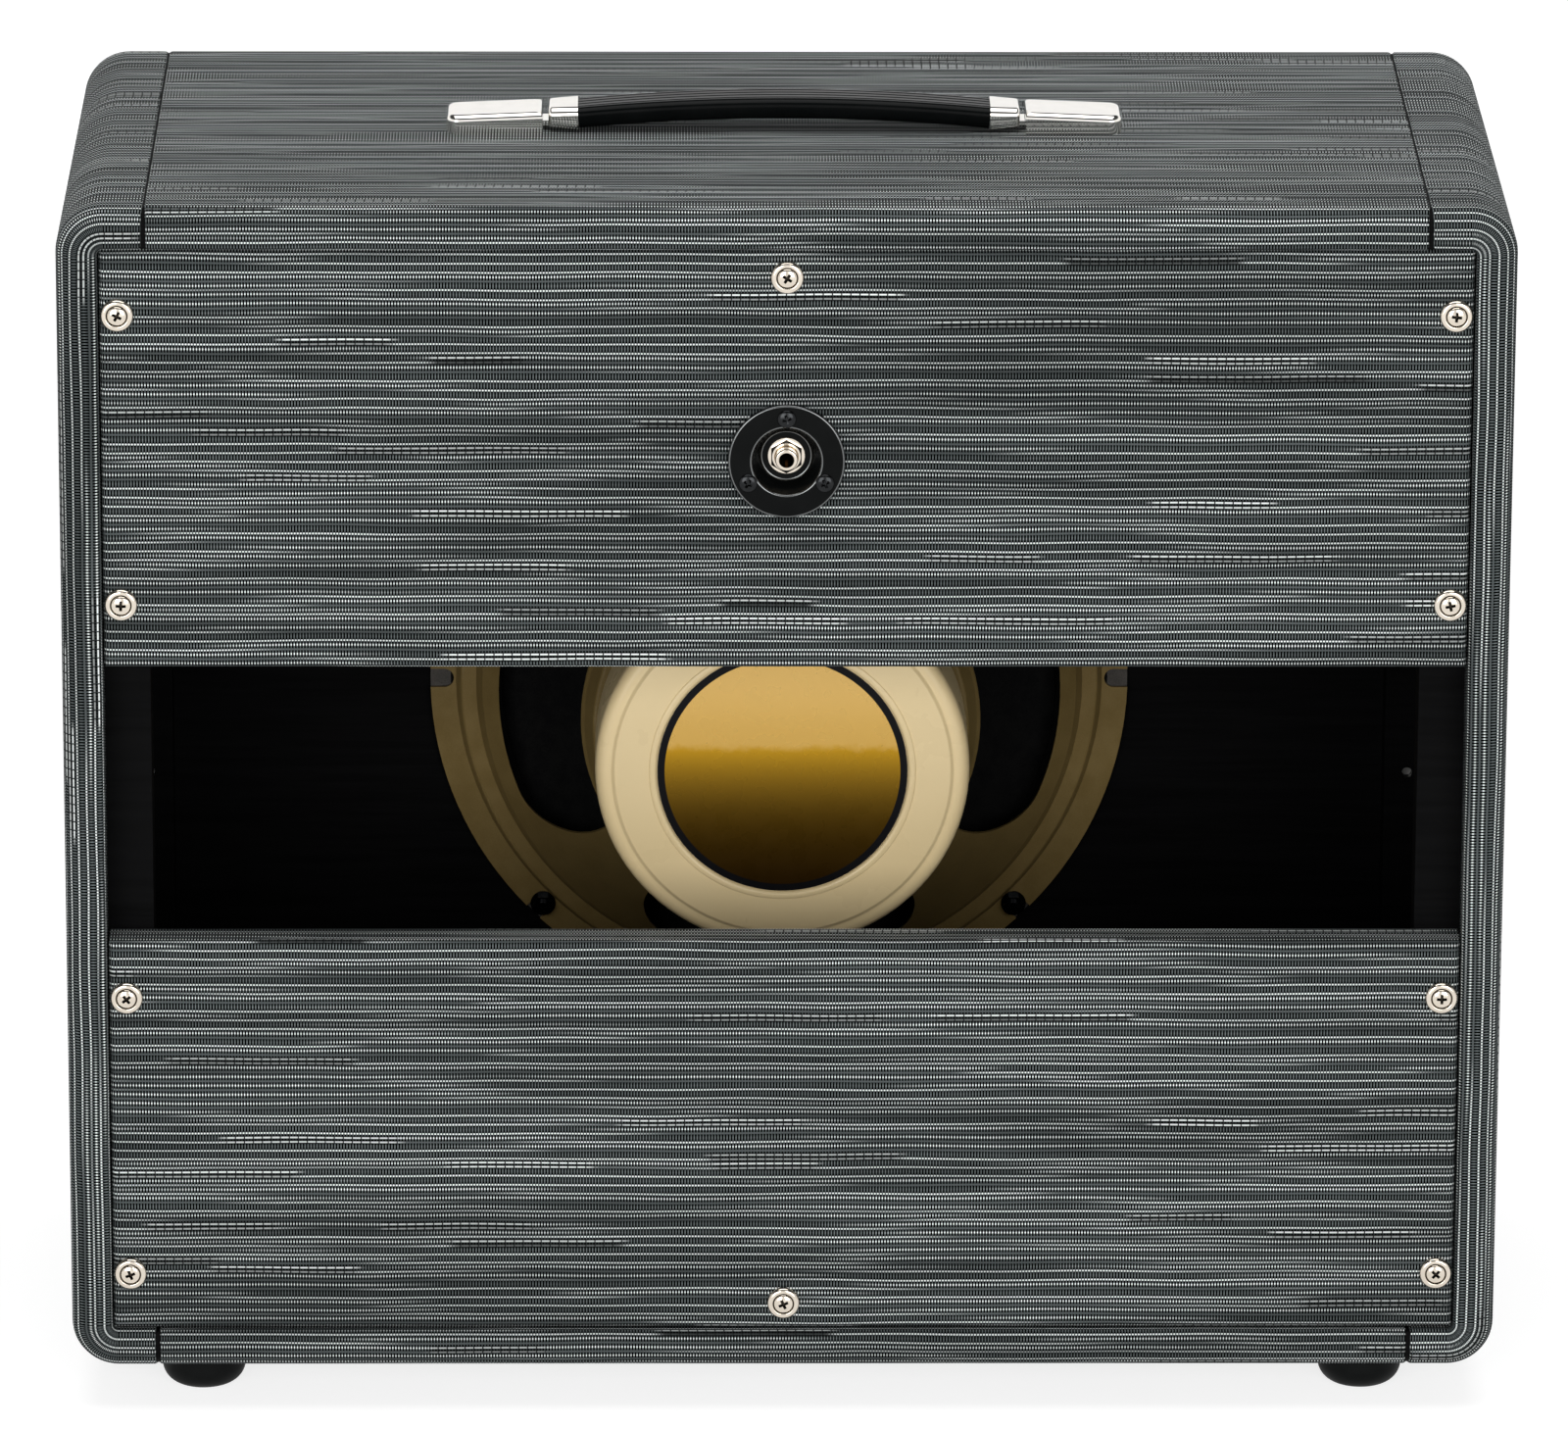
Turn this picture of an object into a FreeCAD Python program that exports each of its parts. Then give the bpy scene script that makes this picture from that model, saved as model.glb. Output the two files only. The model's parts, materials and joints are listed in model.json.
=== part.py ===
import FreeCAD, Part
import math
import os

os.makedirs("parts", exist_ok=True)

# Driving dimensions in millimetres. The back of the cabinet faces +Y, the grille faces -Y,
# +Z is up and the origin is on the floor, under the middle of the cabinet.

# Cabinet box of finger-jointed boards under a glued covering
cabinet_width = 610.0
cabinet_height = 514.0
cabinet_depth = 280.0
corner_radius = 20.0
rim_radius = 9.0
board = 16.0
covering = 0.7
finger_count = 9
seam_from_side = 36.5
seam_gap = 0.8
cut_overrun = 5.0

# Back panels and the cleats that carry them
panel_inset = 3.0
panel_gap = 0.6
panel_board = 16.0
panel_edge_radius = 3.0
panel_lining_width = 20.0
upper_panel_height = 182.0
lower_panel_height = 174.5
cleat_width = 20.0
cleat_depth = 19.0
upper_screw_margin = 28.0
lower_screw_margin = 25.0
centre_screw_margin = 11.5
side_screw_margin = 7.5

# Screws of the back panels, with their cup washers
panel_screw_radius = 2.0
panel_screw_length = 30.0
screw_clearance = 0.15
cup_radius = 7.0
cup_height = 2.2
cup_sheet = 0.6
cup_lip_radius = 4.6
cup_round_share = 0.72
screw_head_dome = 0.7

# Baffle, battens and grille
baffle_board = 18.0
baffle_setback = 16.0
baffle_cutout_step = 0.7
batten_width = 20.0
batten_depth = 20.0
baffle_screw_radius = 2.2
baffle_screw_length = 34.0
baffle_screw_head_radius = 4.4
baffle_screw_head_height = 2.0
baffle_screws_per_side = 4
baffle_screw_margin = 60.0
grille_setback = 3.0
grille_gap = 1.5
grille_board = 9.0
grille_border = 30.0
cloth = 0.8
cloth_return = 14.0
pad_size = 24.0
pad_columns = 3

# Loudspeaker basket, pressed from sheet: flange, ridge, throat, legs, spider shelf and hub
speaker_height = 236.0
gasket_thickness = 2.5
basket_radius = 154.5
basket_sheet = 1.6
basket_bend = 1.5
flange_width = 12.3
ridge_run = 2.4
ridge_depth = 5.0
ridge_width = 6.6
throat_run = 3.2
throat_drop = 7.4
leg_run = 45.4
leg_drop = 53.0
shelf_run = 3.6
shelf_drop = 8.6
shelf_width = 17.0
hub_drop = 12.0
hub_clearance = 3.5
window_rim = 6.0
window_foot = 2.9
window_corner_radius = 22.0
window_inner_corner_radius = 6.0
leg_half_width = 18.0
leg_count = 4
notch_count = 8
notch_radius = 4.2

# Loudspeaker bolts through the baffle
bolt_radius = 2.5
bolt_clearance = 0.2
bolt_head_radius = 4.8
bolt_head_height = 2.4
bolt_end = 2.5
nut_across_flats = 8.0
nut_sides = 6
nut_height = 4.0
washer_margin = 0.6
nut_washer_thickness = 1.0

# Cone, edge and voice coil
glue_gap = 0.3
surround_sheet = 0.6
surround_lip = 3.3
surround_drop = 4.5
surround_waves = 3
surround_width = 19.7
cone_sheet = 1.2
cone_depth = 43.0
dust_cap_radius = 28.0
dust_cap_dome = 9.0
dust_cap_sheet = 0.8
former_radius = 22.3
former_wall = 0.4
former_below_cone = 53.0
coil_wall = 0.8
coil_height = 11.0
spider_sheet = 0.8
spider_lip = 9.0
spider_drop = 8.0
spider_waves = 4

# Magnet under its moulded cover
front_plate_thickness = 7.4
coil_gap = 1.1
magnet_radius = 77.5
magnet_step = 7.5
magnet_clearance = 8.5
magnet_thickness = 20.0
back_plate_thickness = 7.0
cover_wall = 3.2
cover_length = 46.0
cover_shoulder_radius = 6.0
cover_groove_from_side = 7.0
cover_groove_width = 1.6
cover_groove_depth = 0.8
cover_rear_room = 17.0
label_radius = 54.0
label_thickness = 0.6
label_recess = 0.8

# Terminal strip, braids to the cone and lead to the jack
strip_length = 40.0
strip_width = 14.0
strip_thickness = 2.0
strip_from_dish = 19.4
strip_leg_angle = 135.0
tag_width = 5.0
tag_length = 9.0
tag_thickness = 0.8
braid_radius = 0.7
braid_cone_radius = 64.0
braid_rise = 12.0
braid_bend = 8.0
lead_radius = 2.5
lead_stand = 22.0
lead_bend_share = 0.45
lead_steps = ((-6, -42, 0), (-30, -76, -20), (-56, -108, -52), (-87, -138, -78))

# Jack in its round dish, in the middle of the upper back panel
jack_bore_radius = 3.25
bushing_wall = 1.5
bushing_clearance = 0.1
bushing_below_rim = 2.0
bushing_edge_radius = 0.8
jack_plate_width = 3.25
jack_plate_thickness = 3.0
jack_nut_width = 3.0
jack_nut_across_flats = 14.0
jack_nut_height = 2.6
jack_nut_edge_radius = 0.9
dish_nut_room = 3.25
dish_taper = 3.5
dish_flange_width = 10.0
dish_flange_thickness = 1.8
dish_edge_radius = 0.8
dish_recess_depth = 10.0
dish_wall = 1.0
dish_floor = 2.0
dish_clearance = 0.4
dish_screw_from_edge = 5.9
dish_screw_count = 3
dish_screw_radius = 1.4
dish_screw_length = 12.0
dish_screw_head_radius = 3.9
dish_screw_head_height = 1.1
jack_leg_width = 8.0
jack_leg_step = 3.0
jack_leg_thickness = 1.2
jack_leg_length = 12.0
insulator_thickness = 2.3
spring_sheet = 0.5
spring_width = 5.0
spring_reach = 14.0
spring_contact_gap = 0.4
spring_clearance = 0.3
spring_tail = 4.0
spring_tail_rise = 2.0
spring_bend = 0.8

# Feet
foot_height = 20.0
foot_shoulder_radius = 9.0
foot_rest_width = 2.5
foot_inset_x = 55.0
foot_inset_y = 42.0
foot_recess_radius = 6.5
foot_recess_depth = 10.0
foot_screw_radius = 2.4
foot_screw_head_radius = 5.0
foot_screw_head_height = 3.0
foot_screw_bite = 13.0

# Strap handle with end caps
cap_length = 41.0
cap_width = 27.0
cap_inner_height = 9.4
cap_outer_height = 7.8
cap_wall = 1.3
cap_top_radius = 2.8
cap_corner_radius = 5.0
cap_inner_end = 103.0
cap_slot_height = 5.2
cap_boss_radius = 3.6
cap_boss_from_end = 9.0
cap_boss_spacing = 14.0
handle_bolt_radius = 2.0
handle_bolt_head_radius = 4.2
handle_bolt_head_height = 2.4
handle_bolt_bite = 5.0
ferrule_length = 12.5
ferrule_gap = 2.5
ferrule_wide = 24.5
ferrule_tall = 10.4
ferrule_neck_wide = 21.5
ferrule_neck_tall = 9.0
ferrule_neck_radius = 1.8
ferrule_corner_radius = 3.4
corner_limit_share = 0.45
ferrule_floor_gap = 0.8
tongue_width = 12.0
tongue_thickness = 2.0
tongue_floor_gap = 2.2
tongue_clearance = 0.8
tongue_head_width = 18.0
tongue_head_length = 6.0
tongue_room = 4.0
grip_width = 22.5
grip_tall = 9.0
grip_rise = 4.2
grip_edge_radius = 3.4
grip_rib_count = 4
grip_rib_radius = 0.7
grip_rib_spacing = 4.2

# Places worked out from the sizes above
half_width = cabinet_width / 2
back_y = cabinet_depth / 2
front_y = -cabinet_depth / 2
bottom_z = foot_height
top_z = foot_height + cabinet_height
inner_x = half_width - covering - board
inner_low_z = bottom_z + covering + board
inner_high_z = top_z - covering - board
lined_x = inner_x - covering
lined_low_z = inner_low_z + covering
lined_high_z = inner_high_z - covering
seam_x = half_width - seam_from_side
panel_rear_y = back_y - panel_inset
panel_thickness = panel_board + 2 * covering
panel_front_y = panel_rear_y - panel_thickness
panel_half_x = lined_x - panel_gap
upper_high_z = lined_high_z - panel_gap
upper_low_z = upper_high_z - upper_panel_height
lower_low_z = lined_low_z + panel_gap
lower_high_z = lower_low_z + lower_panel_height
jack_z = (upper_low_z + upper_high_z) / 2
baffle_front_y = front_y + baffle_setback
baffle_rear_y = baffle_front_y + baffle_board
grille_front_y = front_y + grille_setback
speaker_z = bottom_z + speaker_height
flange_y = baffle_rear_y + gasket_thickness + surround_sheet
panel_screw_x = panel_half_x - side_screw_margin
flange_inner_radius = basket_radius - flange_width
ridge_outer_radius = flange_inner_radius - ridge_run
ridge_inner_radius = ridge_outer_radius - ridge_width
throat_radius = ridge_inner_radius - throat_run
throat_depth = ridge_depth + throat_drop
dish_radius = throat_radius - leg_run
dish_depth = throat_depth + leg_drop
shelf_radius = dish_radius - shelf_run
shelf_depth = dish_depth + shelf_drop
shelf_inner_radius = shelf_radius - shelf_width
hub_depth = shelf_depth + hub_drop
coil_radius = former_radius + former_wall + coil_wall
hub_bore_radius = coil_radius + hub_clearance
window_outer_radius = throat_radius - window_rim
window_inner_radius = dish_radius + window_foot
bolt_circle_radius = (basket_radius + flange_inner_radius) / 2
nut_washer_radius = flange_width / 2 - washer_margin
baffle_cutout_radius = flange_inner_radius - baffle_cutout_step
surround_lip_radius = flange_inner_radius + surround_lip
cone_radius = flange_inner_radius - surround_width
magnet_bore_radius = coil_radius + magnet_clearance
plate_radius = magnet_radius - magnet_step
cover_radius = magnet_radius + glue_gap + cover_wall
cover_groove_radius = cover_radius - cover_groove_from_side
strip_radius = dish_radius + strip_from_dish
bushing_radius = jack_bore_radius + bushing_wall
jack_plate_radius = bushing_radius + jack_plate_width
jack_nut_radius = bushing_radius + jack_nut_width
dish_floor_radius = jack_nut_radius + dish_nut_room
dish_mouth_radius = dish_floor_radius + dish_taper
dish_flange_radius = dish_mouth_radius + dish_flange_width
dish_screw_circle = dish_flange_radius - dish_screw_from_edge
jack_leg_offset = jack_plate_radius + jack_leg_step
foot_radius = foot_recess_radius + foot_rest_width + foot_shoulder_radius
side_cleat_x = inner_x - cleat_width

ORIGIN = FreeCAD.Vector(0, 0, 0)
X_AXIS = FreeCAD.Vector(1, 0, 0)
Y_AXIS = FreeCAD.Vector(0, 1, 0)
Z_AXIS = FreeCAD.Vector(0, 0, 1)
FULL_TURN = 360.0
SAME_POINT = 1e-6
SAME_PLACE = 0.07
QUARTER_TURN = 90.0
SIDES = (("left", 1), ("right", -1))

nodes = {}


def box(low, high):
    """Block between two corners."""
    return Part.makeBox(high[0] - low[0], high[1] - low[1], high[2] - low[2], FreeCAD.Vector(*low))


def rod(radius, start, axis, length):
    """Round bar from a start point along an axis."""
    return Part.makeCylinder(radius, length, FreeCAD.Vector(*start), axis)


def moved(shape, x, y, z):
    """Copy of a shape, shifted."""
    copy = shape.copy()
    copy.translate(FreeCAD.Vector(x, y, z))
    return copy


def turned_about(shape, axis, angle):
    """Copy of a shape, turned about an axis through the origin."""
    copy = shape.copy()
    copy.rotate(ORIGIN, axis, angle)
    return copy


def outline(corners):
    """Flat face in the XY plane from (x, y, rounding) corners, each rounded by a tangent arc."""
    points = [FreeCAD.Vector(corner[0], corner[1], 0) for corner in corners]
    edges = []
    ends = []
    for index, corner in enumerate(corners):
        here = points[index]
        rounding = corner[2] if len(corner) > 2 else 0
        if rounding == 0:
            ends.append((here, here))
            continue
        to_last = (points[index - 1] - here).normalize()
        to_next = (points[(index + 1) % len(points)] - here).normalize()
        half_angle = to_last.getAngle(to_next) / 2
        reach = rounding / math.tan(half_angle)
        middle = (to_last + to_next).normalize() * (rounding / math.sin(half_angle) - rounding)
        ends.append((here + to_last * reach, here + to_next * reach))
        edges.append(Part.Arc(ends[-1][0], here + middle, ends[-1][1]).toShape())
    for index, (start, end) in enumerate(ends):
        following = ends[(index + 1) % len(ends)][0]
        if end.distanceToPoint(following) > SAME_POINT:
            edges.append(Part.LineSegment(end, following).toShape())
    return Part.Face(Part.Wire(Part.__sortEdges__(edges)))


def sheet(path, thickness):
    """Corners of a bent sheet that lies to the left of a path of (x, y, inside bend) points."""
    points = [FreeCAD.Vector(point[0], point[1], 0) for point in path]
    ways = [(points[i + 1] - points[i]).normalize() for i in range(len(points) - 1)]
    first_side, other_side = [], []
    for index, point in enumerate(points):
        before = ways[max(index - 1, 0)]
        after = ways[min(index, len(ways) - 1)]
        left = FreeCAD.Vector(-before.y - after.y, before.x + after.x, 0).normalize()
        reach = thickness / left.dot(FreeCAD.Vector(-after.y, after.x, 0))
        bend = path[index][2] if len(path[index]) > 2 else 0
        turns_left = before.cross(after).z > 0
        first_bend = bend + thickness if turns_left and bend else bend
        other_bend = bend if turns_left or not bend else bend + thickness
        other = point + left * reach
        first_side.append((point.x, point.y, first_bend))
        other_side.append((other.x, other.y, other_bend))
    return first_side + other_side[::-1]


def turned(corners):
    """Solid of revolution about Y from (radius, along, rounding) corners."""
    return outline(corners).revolve(ORIGIN, Y_AXIS, FULL_TURN)


def hex_bar(across_flats, start, length):
    """Six-sided bar along Y."""
    reach = across_flats / math.sqrt(3)
    angles = [math.radians(index * FULL_TURN / nut_sides) for index in range(nut_sides + 1)]
    corners = [FreeCAD.Vector(reach * math.cos(a), start, reach * math.sin(a)) for a in angles]
    return Part.Face(Part.makePolygon(corners)).extrude(Y_AXIS * length)


def fused(shapes):
    """One solid from touching shapes."""
    return shapes[0].multiFuse(shapes[1:]).removeSplitter()


def group(shapes):
    """Separate solids that share a node."""
    return Part.makeCompound(shapes)


def edges_where(shape, test):
    """Edges whose every vertex passes a test."""
    return [edge for edge in shape.Edges if all(test(vertex.Point) for vertex in edge.Vertexes)]


def near(value, target):
    """True where two places are the same for picking edges."""
    return abs(value - target) < SAME_PLACE


# Cabinet boards and covering
def rounded_block(inset):
    """Block of the cabinet's outline with rounded corners and rims, every face moved in."""
    low = (-half_width + inset, front_y + inset, bottom_z + inset)
    high = (half_width - inset, back_y - inset, top_z - inset)
    block = box(low, high)
    outer_side = half_width - inset
    corners = [edge for edge in edges_where(block, lambda p: near(abs(p.x), outer_side))
               if near(edge.Length, high[1] - low[1])]
    block = block.makeFillet(corner_radius - inset, corners)
    rims = [edge for rim in (low[1], high[1]) for edge in edges_where(block, lambda p: near(p.y, rim))]
    return block.makeFillet(rim_radius - inset, rims)


def opening(half_x, low_z, high_z, low_y, high_y):
    """Block that clears the space between the boards."""
    return box((-half_x, low_y, low_z), (half_x, high_y, high_z))


def corner_fingers(first):
    """Every second finger of the four corner joints, starting at the given finger."""
    pitch = cabinet_depth / finger_count
    blocks = []
    for index in range(first, finger_count, 2):
        start = front_y + index * pitch
        for low_x, high_x in ((-half_width, -inner_x), (inner_x, half_width)):
            for low_z, high_z in ((bottom_z, inner_low_z), (inner_high_z, top_z)):
                blocks.append(box((low_x, start, low_z), (high_x, start + pitch, high_z)))
    return group(blocks)


def build_boards():
    """Two sides, top and bottom, cut from one ring along their finger joints."""
    clear = opening(inner_x, inner_low_z, inner_high_z, front_y - cut_overrun, back_y + cut_overrun)
    ring = rounded_block(covering).cut(clear)
    side_cut = corner_fingers(1)
    flat_cut = corner_fingers(0)
    for name, side in SIDES:
        low_x, high_x = sorted((side * inner_x, side * half_width))
        slab = box((low_x, front_y, bottom_z), (high_x, back_y, top_z))
        nodes["side_panel_" + name] = ring.common(slab).cut(side_cut)
    heights = (("top_panel", inner_high_z, top_z), ("bottom_panel", bottom_z, inner_low_z))
    for name, low_z, high_z in heights:
        slab = box((-half_width, front_y, low_z), (half_width, back_y, high_z))
        nodes[name] = ring.common(slab).cut(flat_cut)
    return ring


def build_coverings(ring):
    """Glued covering: two side pieces that turn over the corners, and a top and a bottom strip."""
    lined = opening(lined_x, lined_low_z, lined_high_z, front_y - cut_overrun, back_y + cut_overrun)
    bare = opening(inner_x, inner_low_z, inner_high_z, baffle_front_y, panel_front_y)
    skin = rounded_block(0).cut(lined).cut(ring).cut(bare)
    low_y, high_y = front_y - cut_overrun, back_y + cut_overrun
    for name, side in SIDES:
        low_x, high_x = sorted((side * seam_x, side * (half_width + cut_overrun)))
        half = box((low_x, low_y, bottom_z - cut_overrun), (high_x, high_y, top_z + cut_overrun))
        nodes["covering_" + name] = skin.common(half)
    strip_x = seam_x - seam_gap
    middle_z = (bottom_z + top_z) / 2
    upper = box((-strip_x, low_y, middle_z), (strip_x, high_y, top_z + cut_overrun))
    lower = box((-strip_x, low_y, bottom_z - cut_overrun), (strip_x, high_y, middle_z))
    nodes["covering_top"] = skin.common(upper)
    nodes["covering_bottom"] = skin.common(lower)


# Back panels
def panel_screw_places():
    """X and Z of the ten screws, five in each panel."""
    places = [(0, upper_high_z - centre_screw_margin), (0, lower_low_z + centre_screw_margin)]
    for side in (-1, 1):
        places.append((side * panel_screw_x, upper_high_z - upper_screw_margin))
        places.append((side * panel_screw_x, upper_low_z + upper_screw_margin))
        places.append((side * panel_screw_x, lower_high_z - lower_screw_margin))
        places.append((side * panel_screw_x, lower_low_z + lower_screw_margin))
    return places


def panel_block(low_z, high_z, inset):
    """Back panel with its rear edges rounded, every face moved in."""
    high_y = panel_rear_y - inset
    low = (-panel_half_x + inset, panel_front_y + inset, low_z + inset)
    block = box(low, (panel_half_x - inset, high_y, high_z - inset))
    return block.makeFillet(panel_edge_radius - inset, edges_where(block, lambda p: near(p.y, high_y)))


def build_back_panels():
    """Upper and lower panel, each a board in a covering that turns onto its inner face."""
    length = panel_thickness + cleat_depth
    start_y = panel_front_y - cleat_depth
    hole_radius = panel_screw_radius + screw_clearance
    holes = [rod(hole_radius, (x, start_y, z), Y_AXIS, length) for x, z in panel_screw_places()]
    start = (0, panel_front_y - cut_overrun, jack_z)
    holes.append(rod(dish_mouth_radius + dish_wall + dish_clearance, start, Y_AXIS, length))
    for x, z in dish_screw_places():
        depth_y = panel_rear_y - dish_screw_length
        holes.append(rod(dish_screw_radius + screw_clearance, (x, depth_y, z), Y_AXIS, length))
    for name, low_z, high_z in (("upper", upper_low_z, upper_high_z), ("lower", lower_low_z, lower_high_z)):
        panel = panel_block(low_z, high_z, covering)
        margin = covering + panel_lining_width
        window = box((-panel_half_x + margin, panel_front_y - cut_overrun, low_z + margin),
                     (panel_half_x - margin, panel_front_y + covering, high_z - margin))
        skin = panel_block(low_z, high_z, 0).cut(panel).cut(window)
        nodes[name + "_back_panel"] = panel.cut(holes)
        nodes[name + "_back_covering"] = skin.cut(holes)
    return holes


def build_cleats(holes):
    """Strips inside the rim that the back panels are screwed to."""
    low_y = panel_front_y - cleat_depth
    for name, side in SIDES:
        low_x, high_x = sorted((side * side_cleat_x, side * inner_x))
        cleat = box((low_x, low_y, inner_low_z), (high_x, panel_front_y, inner_high_z))
        nodes["side_cleat_" + name] = cleat.cut(holes)
    top_low_z = inner_high_z - cleat_width
    bottom_high_z = inner_low_z + cleat_width
    top = box((-side_cleat_x, low_y, top_low_z), (side_cleat_x, panel_front_y, inner_high_z))
    bottom = box((-side_cleat_x, low_y, inner_low_z), (side_cleat_x, panel_front_y, bottom_high_z))
    nodes["top_cleat"] = top.cut(holes)
    nodes["bottom_cleat"] = bottom.cut(holes)


def build_panel_screws():
    """Raised-head screws in pressed cup washers."""
    hole_radius = panel_screw_radius + screw_clearance
    rounding = cup_round_share * min(cup_radius - cup_lip_radius, cup_height)
    head_radius = cup_lip_radius - cup_sheet
    cup = turned([(hole_radius, 0), (cup_radius, 0), (cup_radius, cup_height, rounding),
                  (head_radius, cup_height), (hole_radius, cup_sheet)])
    seat = cup_sheet + screw_clearance
    head = turned([(0, seat - panel_screw_length), (panel_screw_radius, seat - panel_screw_length),
                   (panel_screw_radius, seat), (head_radius, cup_height),
                   (head_radius / 2, cup_height + screw_head_dome), (0, cup_height + screw_head_dome)])
    places = panel_screw_places()
    nodes["back_panel_screws"] = group([moved(head, x, panel_rear_y, z) for x, z in places])
    nodes["cup_washers"] = group([moved(cup, x, panel_rear_y, z) for x, z in places])


# Baffle and grille
def baffle_screw_places():
    """X and Z of the screws into the battens."""
    span = inner_high_z - inner_low_z - 2 * baffle_screw_margin
    step = span / (baffle_screws_per_side - 1)
    x = inner_x - batten_width / 2
    return [(side * x, inner_low_z + baffle_screw_margin + index * step)
            for side in (-1, 1) for index in range(baffle_screws_per_side)]


def speaker_bolt_places():
    """X and Z of the four bolts, one on each leg of the basket."""
    angles = [math.radians(QUARTER_TURN / 2 + index * FULL_TURN / leg_count) for index in range(leg_count)]
    reach = bolt_circle_radius
    return [(reach * math.cos(a), speaker_z + reach * math.sin(a)) for a in angles]


def build_baffle():
    """Baffle board with its round cut-out, and the two battens behind it."""
    plate = box((-inner_x, baffle_front_y, inner_low_z), (inner_x, baffle_rear_y, inner_high_z))
    start_y = baffle_front_y - cut_overrun
    through = baffle_board + batten_depth + 2 * cut_overrun
    cutout = rod(baffle_cutout_radius, (0, start_y, speaker_z), Y_AXIS, through)
    screw_holes = [rod(baffle_screw_radius + screw_clearance, (x, start_y, z), Y_AXIS, through)
                   for x, z in baffle_screw_places()]
    bolt_holes = [rod(bolt_radius + bolt_clearance, (x, start_y, z), Y_AXIS, through)
                  for x, z in speaker_bolt_places()]
    nodes["baffle"] = plate.cut([cutout] + screw_holes + bolt_holes)
    for name, side in SIDES:
        low_x, high_x = sorted((side * (inner_x - batten_width), side * inner_x))
        rear_y = baffle_rear_y + batten_depth
        batten = box((low_x, baffle_rear_y, inner_low_z), (high_x, rear_y, inner_high_z))
        nodes["baffle_batten_" + name] = batten.cut(screw_holes)
    screw = turned([(0, baffle_screw_length), (0, -baffle_screw_head_height),
                    (baffle_screw_head_radius, -baffle_screw_head_height, baffle_screw_head_height / 2),
                    (baffle_screw_head_radius, 0), (baffle_screw_radius, 0),
                    (baffle_screw_radius, baffle_screw_length)])
    nodes["baffle_screws"] = group([moved(screw, x, baffle_front_y, z) for x, z in baffle_screw_places()])


def build_grille():
    """Grille frame in stretched cloth, held to the baffle by fastening pads."""
    edge_x = lined_x - grille_gap
    low_z, high_z = lined_low_z + grille_gap, lined_high_z - grille_gap
    frame_rear_y = grille_front_y + cloth + grille_board
    cloth_rear_y = frame_rear_y + cloth
    wrap = box((-edge_x, grille_front_y, low_z), (edge_x, cloth_rear_y, high_z))
    block = box((-edge_x + cloth, grille_front_y + cloth, low_z + cloth),
                (edge_x - cloth, frame_rear_y, high_z - cloth))
    border = cloth + grille_border
    window = box((-edge_x + border, grille_front_y + cloth, low_z + border),
                 (edge_x - border, cloth_rear_y, high_z - border))
    fold = cloth + cloth_return
    bare = box((-edge_x + fold, grille_front_y + cloth, low_z + fold),
               (edge_x - fold, cloth_rear_y, high_z - fold))
    nodes["grille_frame"] = block.cut(window)
    nodes["grille_cloth"] = wrap.cut(block).cut(bare)
    pads = []
    reach_x = edge_x - border / 2
    for column in range(pad_columns):
        x = -reach_x + column * 2 * reach_x / (pad_columns - 1)
        for z in (low_z + border / 2, high_z - border / 2):
            pads.append(box((x - pad_size / 2, cloth_rear_y, z - pad_size / 2),
                            (x + pad_size / 2, baffle_front_y, z + pad_size / 2)))
    nodes["grille_pads"] = group(pads)


# Loudspeaker, turned about its own axis and then set on the baffle
def set_in_cabinet(shape):
    """Move a loudspeaker piece from its own axis to its place."""
    return moved(shape, 0, flange_y, speaker_z)


def window_cutter():
    """Rounded opening between two legs, centred on +X, along the loudspeaker's axis."""
    ring = rod(window_outer_radius, (0, 0, 0), Y_AXIS, hub_depth)
    ring = ring.cut(rod(window_inner_radius, (0, 0, 0), Y_AXIS, hub_depth))
    apex = leg_half_width * math.sqrt(2)
    far = basket_radius
    wedge = Part.makePolygon([FreeCAD.Vector(apex, 0, 0), FreeCAD.Vector(far, 0, far - apex),
                              FreeCAD.Vector(far, 0, apex - far), FreeCAD.Vector(apex, 0, 0)])
    cutter = ring.common(Part.Face(wedge).extrude(Y_AXIS * hub_depth))
    lines = [edge for edge in cutter.Edges if near(edge.Length, hub_depth) and len(edge.Vertexes) == 2]
    middle_radius = (window_outer_radius + window_inner_radius) / 2
    outer = [e for e in lines if math.hypot(e.Vertexes[0].X, e.Vertexes[0].Z) > middle_radius]
    cutter = cutter.makeFillet(window_corner_radius, outer)
    lines = [edge for edge in cutter.Edges if near(edge.Length, hub_depth) and len(edge.Vertexes) == 2]
    inner = [e for e in lines if near(math.hypot(e.Vertexes[0].X, e.Vertexes[0].Z), window_inner_radius)]
    return moved(cutter.makeFillet(window_inner_corner_radius, inner), 0, ridge_depth, 0)


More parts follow.
